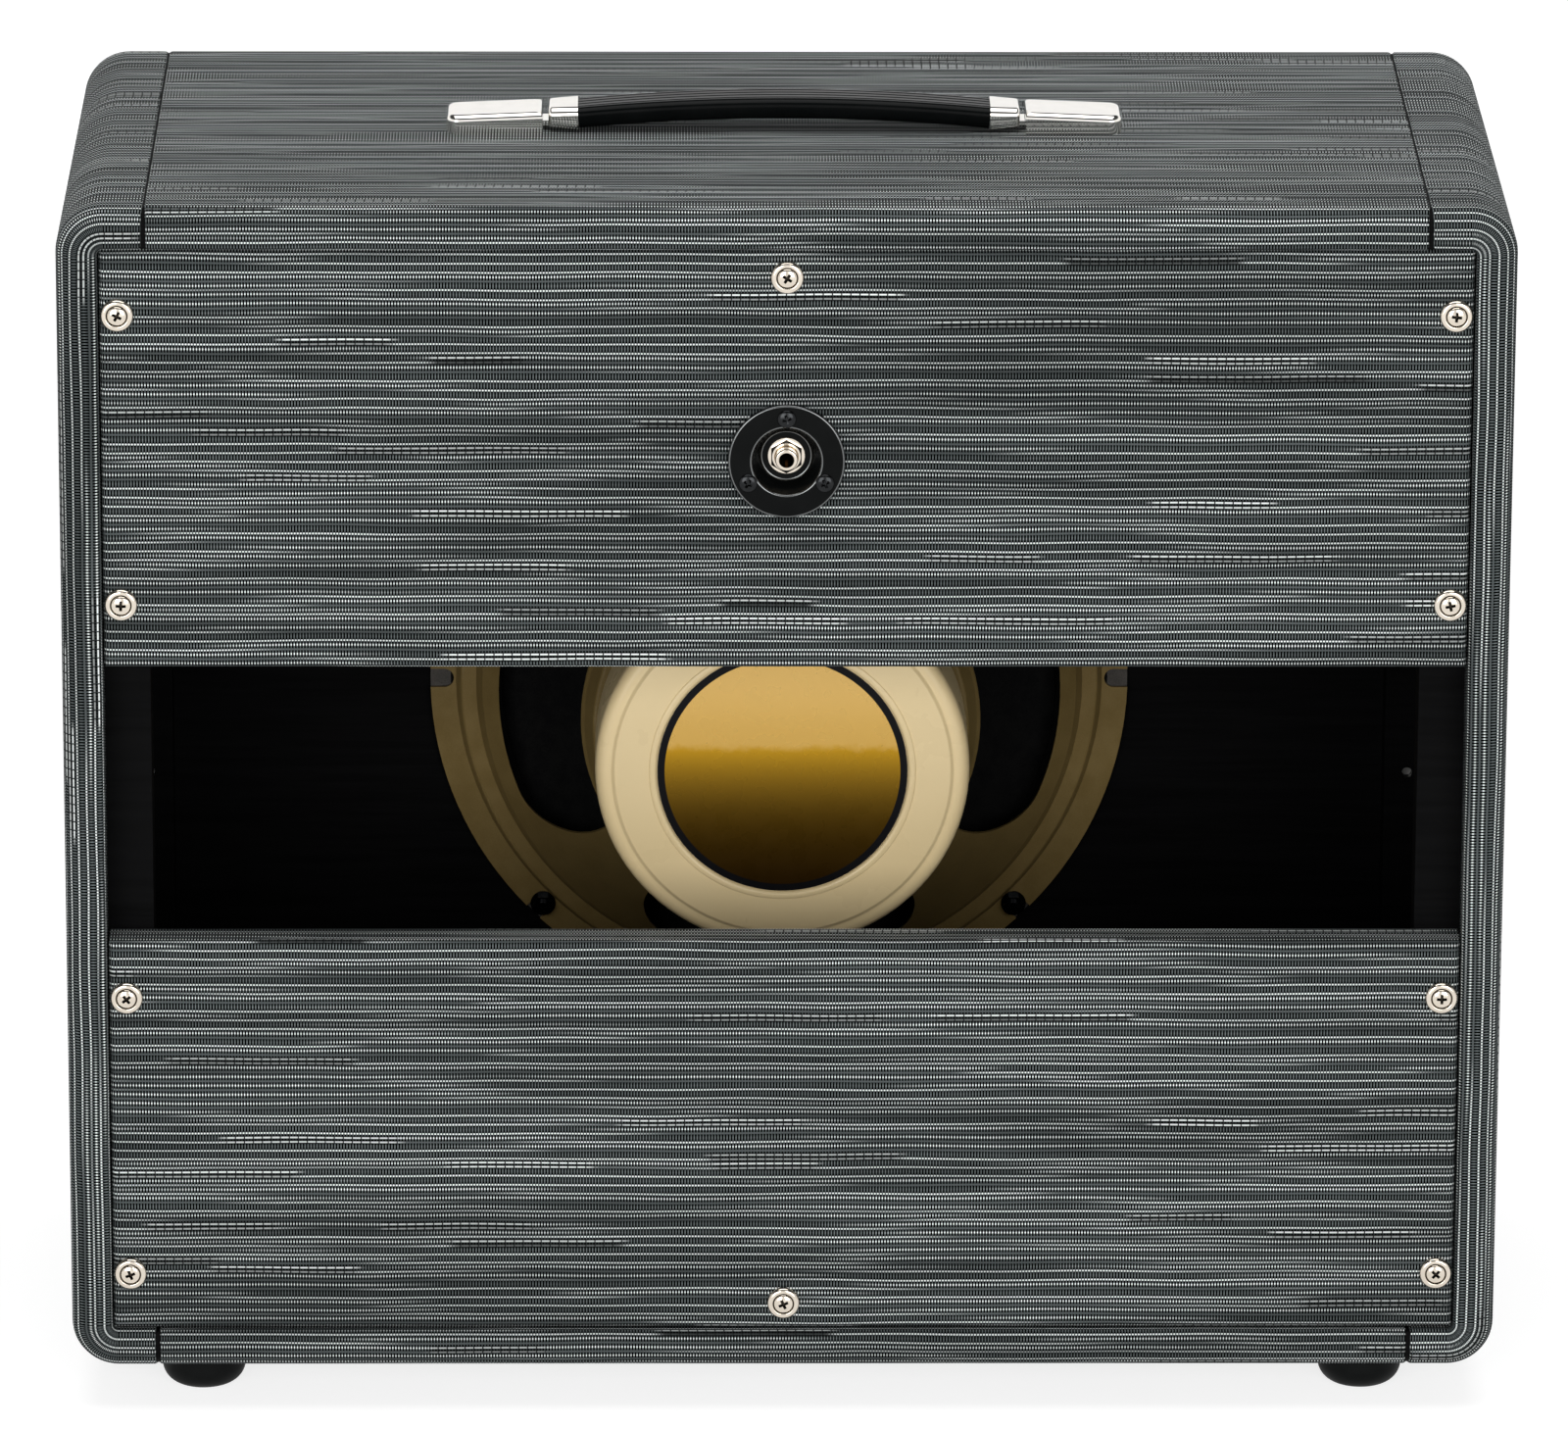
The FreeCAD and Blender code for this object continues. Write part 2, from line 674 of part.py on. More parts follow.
def build_basket():
    """Pressed basket with four legs, and notches for the bolts round its flange."""
    path = [(basket_radius, 0), (flange_inner_radius, 0, basket_bend),
            (ridge_outer_radius, ridge_depth, basket_bend), (ridge_inner_radius, ridge_depth, basket_bend),
            (throat_radius, throat_depth, basket_bend), (dish_radius, dish_depth, basket_bend),
            (shelf_radius, shelf_depth, basket_bend), (shelf_inner_radius, shelf_depth, basket_bend),
            (shelf_inner_radius - basket_sheet, hub_depth, basket_bend), (hub_bore_radius, hub_depth)]
    basket = turned(sheet(path, -basket_sheet))
    cutters = []
    for index in range(leg_count):
        cutters.append(turned_about(window_cutter(), Y_AXIS, index * FULL_TURN / leg_count))
    for index in range(notch_count):
        slot = rod(notch_radius, (bolt_circle_radius, -cut_overrun, 0), Y_AXIS, ridge_depth + cut_overrun)
        mouth = box((bolt_circle_radius, -cut_overrun, -notch_radius),
                    (basket_radius + cut_overrun, ridge_depth, notch_radius))
        angle = QUARTER_TURN / 2 + index * FULL_TURN / notch_count
        cutters.append(turned_about(slot.fuse(mouth), Y_AXIS, angle))
    nodes["basket"] = set_in_cabinet(basket.cut(cutters))


def wave_path(outer_radius, inner_radius, start, drop, waves):
    """Path inwards that steps down in even waves, without turning back."""
    step = (outer_radius - inner_radius) / (2 * waves)
    fall = drop / waves
    path = [(outer_radius, start)]
    for index in range(waves):
        radius = outer_radius - 2 * index * step
        path.append((radius - step / 2, start + index * fall))
        path.append((radius - 3 * step / 2, start + (index + 1) * fall))
    return path + [(inner_radius, start + drop)]


def cone_front(radius):
    """How far the cone's front face lies behind the flange at a radius."""
    slope = cone_depth / (cone_radius - former_radius)
    return surround_drop + (cone_radius - radius) * slope


def build_moving_parts():
    """Gasket, edge, cone, dust cap, voice coil on its former, and the spider."""
    gasket_front = -surround_sheet - gasket_thickness
    gasket = turned([(flange_inner_radius, gasket_front), (basket_radius, gasket_front),
                     (basket_radius, -surround_sheet), (flange_inner_radius, -surround_sheet)])
    holes = [rod(bolt_radius + bolt_clearance, (x, -baffle_setback, z - speaker_z), Y_AXIS, baffle_setback)
             for x, z in speaker_bolt_places()]
    nodes["mounting_gasket"] = set_in_cabinet(gasket.cut(holes))

    wave_outer = flange_inner_radius - basket_bend
    wave = wave_path(wave_outer, cone_radius + glue_gap, 0, surround_drop, surround_waves)
    nodes["surround"] = set_in_cabinet(turned(sheet([(surround_lip_radius, 0)] + wave, surround_sheet)))

    neck_radius = former_radius + former_wall + glue_gap
    cone = [(cone_radius, cone_front(cone_radius)), (cone_radius, cone_front(cone_radius) + cone_sheet),
            (neck_radius, cone_front(neck_radius) + cone_sheet), (neck_radius, cone_front(neck_radius))]
    nodes["cone"] = set_in_cabinet(turned(cone))

    rim = cone_front(dust_cap_radius) - glue_gap
    ball = (dust_cap_radius ** 2 + dust_cap_dome ** 2) / (2 * dust_cap_dome)
    centre = FreeCAD.Vector(0, rim - dust_cap_dome + ball, 0)
    outer = Part.makeSphere(ball, centre)
    inner = Part.makeSphere(ball - dust_cap_sheet, centre)
    reach = 2 * ball
    front_half = box((-reach, rim - reach, -reach), (reach, rim, reach))
    nodes["dust_cap"] = set_in_cabinet(outer.cut(inner).common(front_half))

    start = cone_front(former_radius)
    coil_inner = former_radius + former_wall
    coil_end = start + former_below_cone
    former = [(former_radius, start), (coil_inner, start),
              (coil_inner, coil_end), (former_radius, coil_end)]
    nodes["coil_former"] = set_in_cabinet(turned(former))
    coil_start = coil_end - coil_height
    coil = [(coil_inner, coil_start), (coil_radius, coil_start),
            (coil_radius, coil_end), (coil_inner, coil_end)]
    nodes["voice_coil"] = set_in_cabinet(turned(coil))

    lip_outer = shelf_radius - basket_bend
    wave = wave_path(lip_outer - spider_lip, coil_inner + glue_gap, shelf_depth, -spider_drop, spider_waves)
    nodes["spider"] = set_in_cabinet(turned(sheet([(lip_outer, shelf_depth)] + wave, spider_sheet)))


def build_magnet():
    """Front plate, ring magnet, pole piece, moulded cover and its round label."""
    plate_start = hub_depth + basket_sheet
    magnet_start = plate_start + front_plate_thickness
    back_start = magnet_start + magnet_thickness
    back_end = back_start + back_plate_thickness
    bore = coil_radius + coil_gap
    pole = former_radius - coil_gap
    nodes["front_plate"] = set_in_cabinet(turned(
        [(bore, plate_start), (plate_radius, plate_start), (plate_radius, magnet_start),
         (bore, magnet_start)]))
    nodes["magnet_ring"] = set_in_cabinet(turned(
        [(magnet_bore_radius, magnet_start), (magnet_radius, magnet_start), (magnet_radius, back_start),
         (magnet_bore_radius, back_start)]))
    nodes["pole_piece"] = set_in_cabinet(turned(
        [(0, plate_start), (pole, plate_start), (pole, back_start), (plate_radius, back_start),
         (plate_radius, back_end), (0, back_end)]))

    rear = back_end + cover_rear_room
    inside = rear - cover_wall
    inner_radius = cover_radius - cover_wall
    groove_end = cover_groove_radius - cover_groove_width
    seat = rear - label_recess
    cover = turned(
        [(cover_radius, rear - cover_length), (cover_radius, rear, cover_shoulder_radius),
         (cover_groove_radius, rear), (cover_groove_radius, rear - cover_groove_depth),
         (groove_end, rear - cover_groove_depth), (groove_end, rear),
         (label_radius + glue_gap, rear), (label_radius + glue_gap, seat), (0, seat), (0, inside),
         (inner_radius, inside, cover_shoulder_radius / 2), (inner_radius, rear - cover_length)])
    nodes["magnet_cover"] = set_in_cabinet(cover)
    label_rear = seat + label_thickness
    label = [(0, seat), (label_radius, seat), (label_radius, label_rear), (0, label_rear)]
    nodes["label_disc"] = set_in_cabinet(turned(label))


def build_speaker_bolts():
    """Machine bolts from the front of the baffle, with a washer and a nut behind the flange."""
    flange_rear = flange_y + basket_sheet
    nut_start = flange_rear + nut_washer_thickness
    length = nut_start + nut_height + bolt_end - baffle_front_y
    bolt = turned([(0, length), (0, -bolt_head_height),
                   (bolt_head_radius, -bolt_head_height, bolt_head_height / 2),
                   (bolt_head_radius, 0), (bolt_radius, 0), (bolt_radius, length)])
    hole = bolt_radius + screw_clearance
    washer = turned([(hole, 0), (nut_washer_radius, 0), (nut_washer_radius, nut_washer_thickness),
                     (hole, nut_washer_thickness)])
    nut = hex_bar(nut_across_flats, 0, nut_height).cut(rod(hole, (0, 0, 0), Y_AXIS, nut_height))
    places = speaker_bolt_places()
    nodes["speaker_bolts"] = group([moved(bolt, x, baffle_front_y, z) for x, z in places])
    washers = [moved(washer, x, flange_rear, z) for x, z in places]
    nodes["speaker_nuts"] = group(washers + [moved(nut, x, nut_start, z) for x, z in places])


def round_tube(points, radius, bend):
    """Tube along straight runs joined by tangent arcs; bend gives each arc's radius."""
    edges = []
    start = points[0]
    for index in range(1, len(points) - 1):
        here = points[index]
        to_last = points[index - 1] - here
        to_next = points[index + 1] - here
        half_angle = to_last.getAngle(to_next) / 2
        arc_radius = bend(min(to_last.Length, to_next.Length), half_angle)
        to_last.normalize()
        to_next.normalize()
        reach = arc_radius / math.tan(half_angle)
        middle = (to_last + to_next).normalize() * (arc_radius / math.sin(half_angle) - arc_radius)
        first, last = here + to_last * reach, here + to_next * reach
        edges.append(Part.LineSegment(start, first).toShape())
        edges.append(Part.Arc(first, here + middle, last).toShape())
        start = last
    edges.append(Part.LineSegment(start, points[-1]).toShape())
    path = Part.Wire(edges)
    ring = Part.Wire(Part.makeCircle(radius, points[0], points[1] - points[0]))
    tube = path.makePipeShell([ring], True, False)
    ratio = tube.Volume / (math.pi * radius ** 2 * path.Length)
    arcs = [round(edge.Curve.Radius, 1) for edge in edges if hasattr(edge.Curve, "Radius")]
    print("tube length", round(path.Length, 1), "radii", arcs, "volume ratio", round(ratio, 4))
    return tube


def leg_place(shape):
    """Move a piece from the XY plane of the loudspeaker's section to the leg with the terminals."""
    return set_in_cabinet(turned_about(shape, Y_AXIS, -strip_leg_angle))


def leg_rear(radius):
    """How far the rear face of a leg lies behind the flange at a radius."""
    slope = (dish_depth - throat_depth) / (throat_radius - dish_radius)
    rear_shift = basket_sheet * math.sqrt(1 + slope ** 2)
    return throat_depth + (throat_radius - radius) * slope + rear_shift


def on_strip(shape):
    """Move a piece from a level terminal strip at the origin onto the slope of its leg."""
    slope_angle = math.degrees(math.atan2(dish_depth - throat_depth, throat_radius - dish_radius))
    tilted = turned_about(shape, Z_AXIS, -slope_angle)
    return moved(tilted, strip_radius, leg_rear(strip_radius), 0)


def build_terminals():
    """Terminal strip on a leg of the basket, and two braids from its tags to the cone."""
    face = glue_gap + strip_thickness
    pieces = [box((-strip_width / 2, glue_gap, -strip_length / 2),
                  (strip_width / 2, face, strip_length / 2))]
    braids = []
    for side in (-1, 1):
        z = side * (strip_length - tag_width) / 2
        pieces.append(box((-strip_width / 2, face, z - tag_width / 2),
                          (tag_thickness - strip_width / 2, face + tag_length, z + tag_width / 2)))
        beside = side * (strip_length / 2 + glue_gap + braid_radius)
        solder = Part.Vertex((tag_thickness - strip_width) / 2, face + tag_length / 2, beside)
        start = on_strip(solder).Point
        cone_end = braid_cone_radius - braid_rise
        cone_rear = cone_front(cone_end) + cone_sheet + braid_radius
        route = [start, FreeCAD.Vector(braid_cone_radius, start.y, beside),
                 FreeCAD.Vector(cone_end, cone_rear, beside)]
        braids.append(leg_place(round_tube(route, braid_radius, lambda run, half: braid_bend)))
    nodes["terminal_strip"] = group([leg_place(on_strip(piece)) for piece in pieces])
    nodes["tinsel_leads"] = group(braids)


def build_speaker_lead():
    """Lead from the leg of the jack, level at first, that sags and turns onto the terminal strip."""
    leg_end_y = panel_rear_y + dish_flange_thickness - dish_recess_depth - dish_floor - jack_plate_thickness
    start_z = jack_z + jack_leg_offset + jack_leg_thickness + glue_gap + lead_radius
    start = FreeCAD.Vector(0, leg_end_y - jack_leg_length / 2, start_z)
    face = glue_gap + strip_thickness
    end = leg_place(on_strip(Part.Vertex(0, face, 0))).Point
    above = leg_place(on_strip(Part.Vertex(0, face + lead_stand, 0))).Point
    route = [start] + [start + FreeCAD.Vector(*step) for step in lead_steps] + [above, end]
    print("lead points", [[round(value, 1) for value in point] for point in route])
    nodes["speaker_lead"] = round_tube(
        route, lead_radius, lambda run, half: lead_bend_share * run * math.tan(half))


# Jack
def dish_screw_places():
    """X and Z of the three screws of the jack dish, one of them above the jack."""
    step = FULL_TURN / dish_screw_count
    angles = [math.radians(QUARTER_TURN + index * step) for index in range(dish_screw_count)]
    reach = dish_screw_circle
    return [(reach * math.cos(a), jack_z + reach * math.sin(a)) for a in angles]


def build_jack():
    """Recessed dish with its screws, and the jack: bushing and leg, nut, insulator and tip spring."""
    rim = dish_flange_thickness
    floor = rim - dish_recess_depth
    wall = dish_wall
    under = floor - dish_floor
    dish = turned([(dish_flange_radius, 0), (dish_flange_radius, rim, dish_edge_radius),
                   (dish_mouth_radius, rim, dish_edge_radius), (dish_floor_radius, floor),
                   (bushing_radius + bushing_clearance, floor), (bushing_radius + bushing_clearance, under),
                   (dish_floor_radius + wall, under), (dish_mouth_radius + wall, 0)])
    hole_radius = dish_screw_radius + screw_clearance
    holes = [rod(hole_radius, (x, -cut_overrun, z - jack_z), Y_AXIS, 2 * cut_overrun)
             for x, z in dish_screw_places()]
    nodes["jack_dish"] = moved(dish.cut(holes), 0, panel_rear_y, jack_z)
    point = rim - dish_screw_length
    head_end = rim + dish_screw_head_height
    screw = turned([(0, point), (dish_screw_radius, point), (dish_screw_radius, rim),
                    (dish_screw_head_radius, rim),
                    (dish_screw_head_radius, head_end, dish_screw_head_height / 2), (0, head_end)])
    nodes["jack_dish_screws"] = group([moved(screw, x, panel_rear_y, z) for x, z in dish_screw_places()])

    tip = rim - bushing_below_rim
    plate_end = under - jack_plate_thickness
    bushing = turned([(jack_bore_radius, plate_end), (jack_plate_radius, plate_end),
                      (jack_plate_radius, under), (bushing_radius, under),
                      (bushing_radius, tip, bushing_edge_radius), (jack_bore_radius, tip)])
    half_leg = jack_leg_width / 2
    leg_top = jack_leg_offset + jack_leg_thickness
    leg = box((-half_leg, plate_end - jack_leg_length, jack_leg_offset), (half_leg, under, leg_top))
    web = box((-half_leg, plate_end, bushing_radius), (half_leg, under, leg_top))
    nodes["jack_bushing"] = moved(fused([bushing, web, leg]), 0, panel_rear_y, jack_z)

    inner = bushing_radius + bushing_clearance
    nut_end = floor + jack_nut_height
    nut = turned([(inner, floor), (jack_nut_radius, floor),
                  (jack_nut_radius, nut_end, jack_nut_edge_radius), (inner, nut_end)])
    nut = nut.common(hex_bar(jack_nut_across_flats, floor, jack_nut_height))
    nodes["jack_nut"] = moved(nut, 0, panel_rear_y, jack_z)

    stack_low = jack_leg_offset - insulator_thickness
    back = plate_end - jack_leg_length
    stack = box((-half_leg, back, stack_low), (half_leg, plate_end - insulator_thickness, jack_leg_offset))
    nodes["jack_insulator"] = moved(stack, 0, panel_rear_y, jack_z)

    contact = jack_bore_radius + spring_contact_gap
    base = stack_low - spring_clearance
    path = [(plate_end - insulator_thickness, base), (back, base, spring_bend),
            (back - spring_reach + spring_tail, contact + spring_sheet, spring_bend),
            (back - spring_reach, contact + spring_sheet + spring_tail_rise)]
    strip = outline(sheet(path, spring_sheet)).extrude(Z_AXIS * spring_width)
    strip.rotate(ORIGIN, Z_AXIS, QUARTER_TURN)
    strip.rotate(ORIGIN, Y_AXIS, QUARTER_TURN)
    nodes["jack_tip_spring"] = moved(strip, -spring_width / 2, panel_rear_y, jack_z)


# Feet
def build_feet():
    """Four domed rubber feet, each on a screw into the bottom board."""
    hole_radius = foot_screw_radius + screw_clearance
    profile = [(foot_recess_radius, 0), (foot_radius, 0, foot_shoulder_radius), (foot_radius, foot_height),
               (hole_radius, foot_height), (hole_radius, foot_recess_depth),
               (foot_recess_radius, foot_recess_depth)]
    foot = turned_about(turned(profile), X_AXIS, QUARTER_TURN)
    head_start = foot_recess_depth - foot_screw_head_height
    end = foot_height + foot_screw_bite
    screw = turned([(0, head_start), (foot_screw_head_radius, head_start, foot_screw_head_height / 2),
                    (foot_screw_head_radius, foot_recess_depth), (foot_screw_radius, foot_recess_depth),
                    (foot_screw_radius, end), (0, end)])
    screw = turned_about(screw, X_AXIS, QUARTER_TURN)
    x, y = half_width - foot_inset_x, back_y - foot_inset_y
    screws = []
    for row, depth in (("rear", y), ("front", -y)):
        for name, side in SIDES:
            nodes["foot_%s_%s" % (row, name)] = moved(foot, side * x, depth, 0)
            screws.append(moved(screw, side * x, depth, 0))
            hole = rod(hole_radius, (side * x, depth, 0), Z_AXIS, end)
            nodes["bottom_panel"] = nodes["bottom_panel"].cut(hole)
            nodes["covering_bottom"] = nodes["covering_bottom"].cut(hole)
    nodes["foot_screws"] = group(screws)


# Handle
def rounded_section(x, wide, tall, centre_z, rounding):
    """Upright rounded rectangle across the handle at an X place."""
    corners = [(-wide / 2, -tall / 2, rounding), (wide / 2, -tall / 2, rounding),
               (wide / 2, tall / 2, rounding), (-wide / 2, tall / 2, rounding)]
    face = outline(corners)
    face.rotate(ORIGIN, X_AXIS, QUARTER_TURN)
    face.rotate(ORIGIN, Z_AXIS, QUARTER_TURN)
    face.translate(FreeCAD.Vector(x, 0, centre_z))
    return face.OuterWire


def cap_top(x):
    """Height of an end cap at an X place. Its top slopes down to the outer end."""
    return cap_inner_height - (cap_inner_height - cap_outer_height) * (x - cap_inner_end) / cap_length


def cap_block(inset):
    """End cap as a solid block, or the space inside its walls, with rounded outer corners."""
    low_x, high_x = cap_inner_end + inset, cap_inner_end + cap_length - inset
    high_z = cap_top(high_x) - inset
    side = outline([(low_x, 0), (high_x, 0), (high_x, high_z), (low_x, cap_top(low_x) - inset)])
    side.rotate(ORIGIN, X_AXIS, QUARTER_TURN)
    half_wide = cap_width / 2 - inset
    block = moved(side, 0, -half_wide, 0).extrude(Y_AXIS * 2 * half_wide)
    uprights = [edge for edge in edges_where(block, lambda p: near(p.x, high_x)) if near(edge.Length, high_z)]
    return block.makeFillet(cap_corner_radius - inset, uprights)


def build_handle():
    """Strap handle: two end caps, two ferrules with tongues that slide in them, and the grip."""
    shell = cap_block(0)
    shell = shell.makeFillet(cap_top_radius, edges_where(shell, lambda p: near(p.z, cap_top(p.x))))
    hollow = cap_block(cap_wall)
    slot_half = tongue_width / 2 + tongue_clearance
    slot = box((cap_inner_end, -slot_half, 0), (cap_inner_end + cap_wall, slot_half, cap_slot_height))
    boss_x = cap_inner_end + cap_length - cap_boss_from_end
    bosses, bolts, bolt_holes = [], [], []
    head_z = inner_high_z - top_z
    head_low = head_z - handle_bolt_head_height
    bolt = turned([(0, head_low), (handle_bolt_head_radius, head_low, handle_bolt_head_height / 2),
                   (handle_bolt_head_radius, head_z), (handle_bolt_radius, head_z),
                   (handle_bolt_radius, handle_bolt_bite), (0, handle_bolt_bite)])
    bolt = turned_about(bolt, X_AXIS, QUARTER_TURN)
    for y in (-cap_boss_spacing / 2, cap_boss_spacing / 2):
        bosses.append(rod(cap_boss_radius, (boss_x, y, 0), Z_AXIS, cap_inner_height).common(hollow))
        hole_length = handle_bolt_bite + screw_clearance - head_z + cut_overrun
        hole_start = (boss_x, y, head_z - cut_overrun)
        bolt_holes.append(rod(handle_bolt_radius + screw_clearance, hole_start, Z_AXIS, hole_length))
        bolts.append(moved(bolt, boss_x, y, 0))
    cap = fused([shell.cut(hollow).cut(slot)] + bosses).cut(bolt_holes)

    ferrule_outer = cap_inner_end - ferrule_gap
    ferrule_inner = ferrule_outer - ferrule_length
    centre_z = ferrule_floor_gap + ferrule_tall / 2
    rounding = min(ferrule_corner_radius, corner_limit_share * ferrule_neck_tall)
    mouth = rounded_section(ferrule_inner, ferrule_wide, ferrule_tall, centre_z, rounding)
    neck = rounded_section(ferrule_outer, ferrule_neck_wide, ferrule_neck_tall, centre_z, rounding)
    ferrule = Part.makeLoft([mouth, neck], True, True)
    ferrule = ferrule.makeFillet(ferrule_neck_radius, edges_where(ferrule, lambda p: near(p.x, ferrule_outer)))
    head_start = cap_inner_end + cap_wall + tongue_head_length + tongue_room
    low_z, high_z = tongue_floor_gap, tongue_floor_gap + tongue_thickness
    tongue = box((ferrule_outer - ferrule_length / 2, -tongue_width / 2, low_z),
                 (head_start + tongue_head_length, tongue_width / 2, high_z))
    head = box((head_start, -tongue_head_width / 2, low_z),
               (head_start + tongue_head_length, tongue_head_width / 2, high_z))
    end_piece = fused([ferrule, tongue, head])

    all_bolts, all_holes = [], []
    for name, side in SIDES:
        turn = 0 if side > 0 else 2 * QUARTER_TURN
        nodes["handle_cap_" + name] = moved(turned_about(cap, Z_AXIS, turn), 0, 0, top_z)
        nodes["handle_end_" + name] = moved(turned_about(end_piece, Z_AXIS, turn), 0, 0, top_z)
        all_bolts += [moved(turned_about(piece, Z_AXIS, turn), 0, 0, top_z) for piece in bolts]
        all_holes += [moved(turned_about(piece, Z_AXIS, turn), 0, 0, top_z) for piece in bolt_holes]
    nodes["handle_bolts"] = group(all_bolts)
    nodes["top_panel"] = nodes["top_panel"].cut(all_holes)
    nodes["covering_top"] = nodes["covering_top"].cut(all_holes)

    half_length = ferrule_inner - glue_gap
    arc_radius = (half_length ** 2 + grip_rise ** 2) / (2 * grip_rise)
    hub_z = centre_z + grip_rise - arc_radius
    section = Part.Face(rounded_section(0, grip_width, grip_tall, centre_z + grip_rise, grip_edge_radius))
    top = centre_z + grip_rise + grip_tall / 2
    for index in range(grip_rib_count):
        y = (index - (grip_rib_count - 1) / 2) * grip_rib_spacing
        groove = Part.Face(Part.Wire(Part.makeCircle(grip_rib_radius, FreeCAD.Vector(0, y, top), X_AXIS)))
        section = section.cut(groove)
    swing = math.degrees(math.asin(half_length / arc_radius)) * 2
    hub = FreeCAD.Vector(0, 0, hub_z)
    section.rotate(hub, Y_AXIS, -swing)
    grip = section.revolve(hub, Y_AXIS, 2 * swing)
    reach_z = cap_inner_height + grip_rise + grip_tall
    span = box((-half_length, -grip_width, 0), (half_length, grip_width, reach_z))
    nodes["handle_grip"] = moved(grip.common(span), 0, 0, top_z)


ring = build_boards()
build_coverings(ring)
holes = build_back_panels()
build_cleats(holes)
build_panel_screws()
build_baffle()
build_grille()
build_basket()
build_moving_parts()
build_magnet()
build_speaker_bolts()
build_terminals()
build_speaker_lead()
build_jack()
build_feet()
build_handle()

for name, shape in nodes.items():
    shape.exportStep("parts/%s.step" % name)
    print(name, "solids", len(shape.Solids), "valid", shape.isValid(), "volume", round(shape.Volume, 1))
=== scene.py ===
from functools import partialmethod
import json
import math

import bmesh
import bpy
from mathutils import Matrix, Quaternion, Vector


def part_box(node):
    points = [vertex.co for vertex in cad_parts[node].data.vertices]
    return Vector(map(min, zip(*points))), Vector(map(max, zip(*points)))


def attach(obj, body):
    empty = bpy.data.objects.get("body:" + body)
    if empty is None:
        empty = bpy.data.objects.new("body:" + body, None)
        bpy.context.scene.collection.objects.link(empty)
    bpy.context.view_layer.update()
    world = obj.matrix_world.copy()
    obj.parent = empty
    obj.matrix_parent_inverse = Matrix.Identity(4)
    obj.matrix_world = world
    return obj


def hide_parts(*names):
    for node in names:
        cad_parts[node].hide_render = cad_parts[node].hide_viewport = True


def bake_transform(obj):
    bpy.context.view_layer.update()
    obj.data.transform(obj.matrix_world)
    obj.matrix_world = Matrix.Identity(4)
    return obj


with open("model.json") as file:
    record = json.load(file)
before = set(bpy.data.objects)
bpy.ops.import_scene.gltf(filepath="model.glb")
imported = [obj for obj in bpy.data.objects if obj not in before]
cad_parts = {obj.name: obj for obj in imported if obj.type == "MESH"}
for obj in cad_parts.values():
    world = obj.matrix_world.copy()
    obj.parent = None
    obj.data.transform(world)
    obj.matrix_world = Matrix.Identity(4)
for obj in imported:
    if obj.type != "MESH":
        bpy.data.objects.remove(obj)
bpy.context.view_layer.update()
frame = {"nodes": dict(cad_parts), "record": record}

# Sizes in metres. The back of the cabinet faces +Y and the grille faces -Y.
side_low, side_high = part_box("covering_left")
upper_low, upper_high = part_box("upper_back_covering")
lower_low, lower_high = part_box("lower_back_covering")
cloth_low, cloth_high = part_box("grille_cloth")
baffle_low, baffle_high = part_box("baffle")
flange_low, flange_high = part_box("basket")

# Cabinet covering. Each seam step is a run from the seam and its share of the sink.
half_width = side_high.x
front_y, back_y = side_low.y, side_high.y
bottom_z, top_z = side_low.z, side_high.z
middle_z = (bottom_z + top_z) / 2
seam_x = side_low.x
strip_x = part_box("covering_top")[1].x
covering = 0.0007
lining = half_width - baffle_high.x + covering
corner_radius = 0.020
rim_radius = 0.009
lip_radius = 0.0025
seam_sink = 0.0006
seam_pull = 0.0006
seam_steps = ((0.0, 1.0), (0.0003, 0.4), (0.001, 0.0), (0.006, 0.0))
map_shift = 1.37
bend_steps = 8
corner_steps = 14

# Back panels and grille cloth
panel_edge = 0.003
panel_fold = 0.0207
panel_y = upper_high.y
jack_z = (upper_low.z + upper_high.z) / 2
dish_hole_radius = 0.0159
hole_sides = 48
cloth_edge = 0.002
cloth_fold = 0.0148
cloth_sheet = 0.0008

# Places of the screws
screw_x = 0.2795
upper_screw_rows = (0.488, 0.362)
lower_screw_rows = (0.1875, 0.063)
centre_screw_rows = (0.5045, 0.0495)
dish_screw_circle = 0.0186
foot_x, foot_y = 0.250, 0.098
foot_screw_z = 0.010
washer_seed, panel_seed, dish_seed, foot_seed = 3, 5, 8, 13

# Screws: head radius, height at the edge and at the crown, shank radius and length, recess reach and depth
panel_screw = (0.0041, 0.0018, 0.0029, 0.0020, 0.0276, 0.0023, 0.0016)
dish_screw = (0.0039, 0.0003, 0.0015, 0.0014, 0.0120, 0.0022, 0.0011)
foot_screw = (0.0050, 0.0006, 0.0030, 0.0024, 0.0230, 0.0024, 0.0018)
dome_steps = 6
recess_arm = 0.28
recess_floor = 0.45
recess_limit = 0.8
mark_slack = 0.0001

# Cup washers
cup_radius = 0.007
cup_height = 0.0022
cup_round = 0.0017
cup_lip = 0.0004
cup_lip_steps = 4
cup_bowl = 0.0045
cup_bowl_floor = 0.0008
cup_hole = 0.0022
cup_hole_floor = 0.0006

# Jack dish and nut
dish_rise = 0.0018
dish_depth = 0.010
dish_rim_y = panel_y + dish_rise
dish_floor_y = dish_rim_y - dish_depth
dish_flange = 0.0245
dish_mouth = 0.0145
dish_lip = 0.0008
dish_wall = 0.001
dish_floor = 0.002
dish_taper_rate = 2.857
washer_radius = 0.0079
washer_height = 0.0008
nut_flats = 0.0127
nut_height = 0.0028
nut_bore = 0.0048
nut_bevel = 0.0004
nut_sides = 72

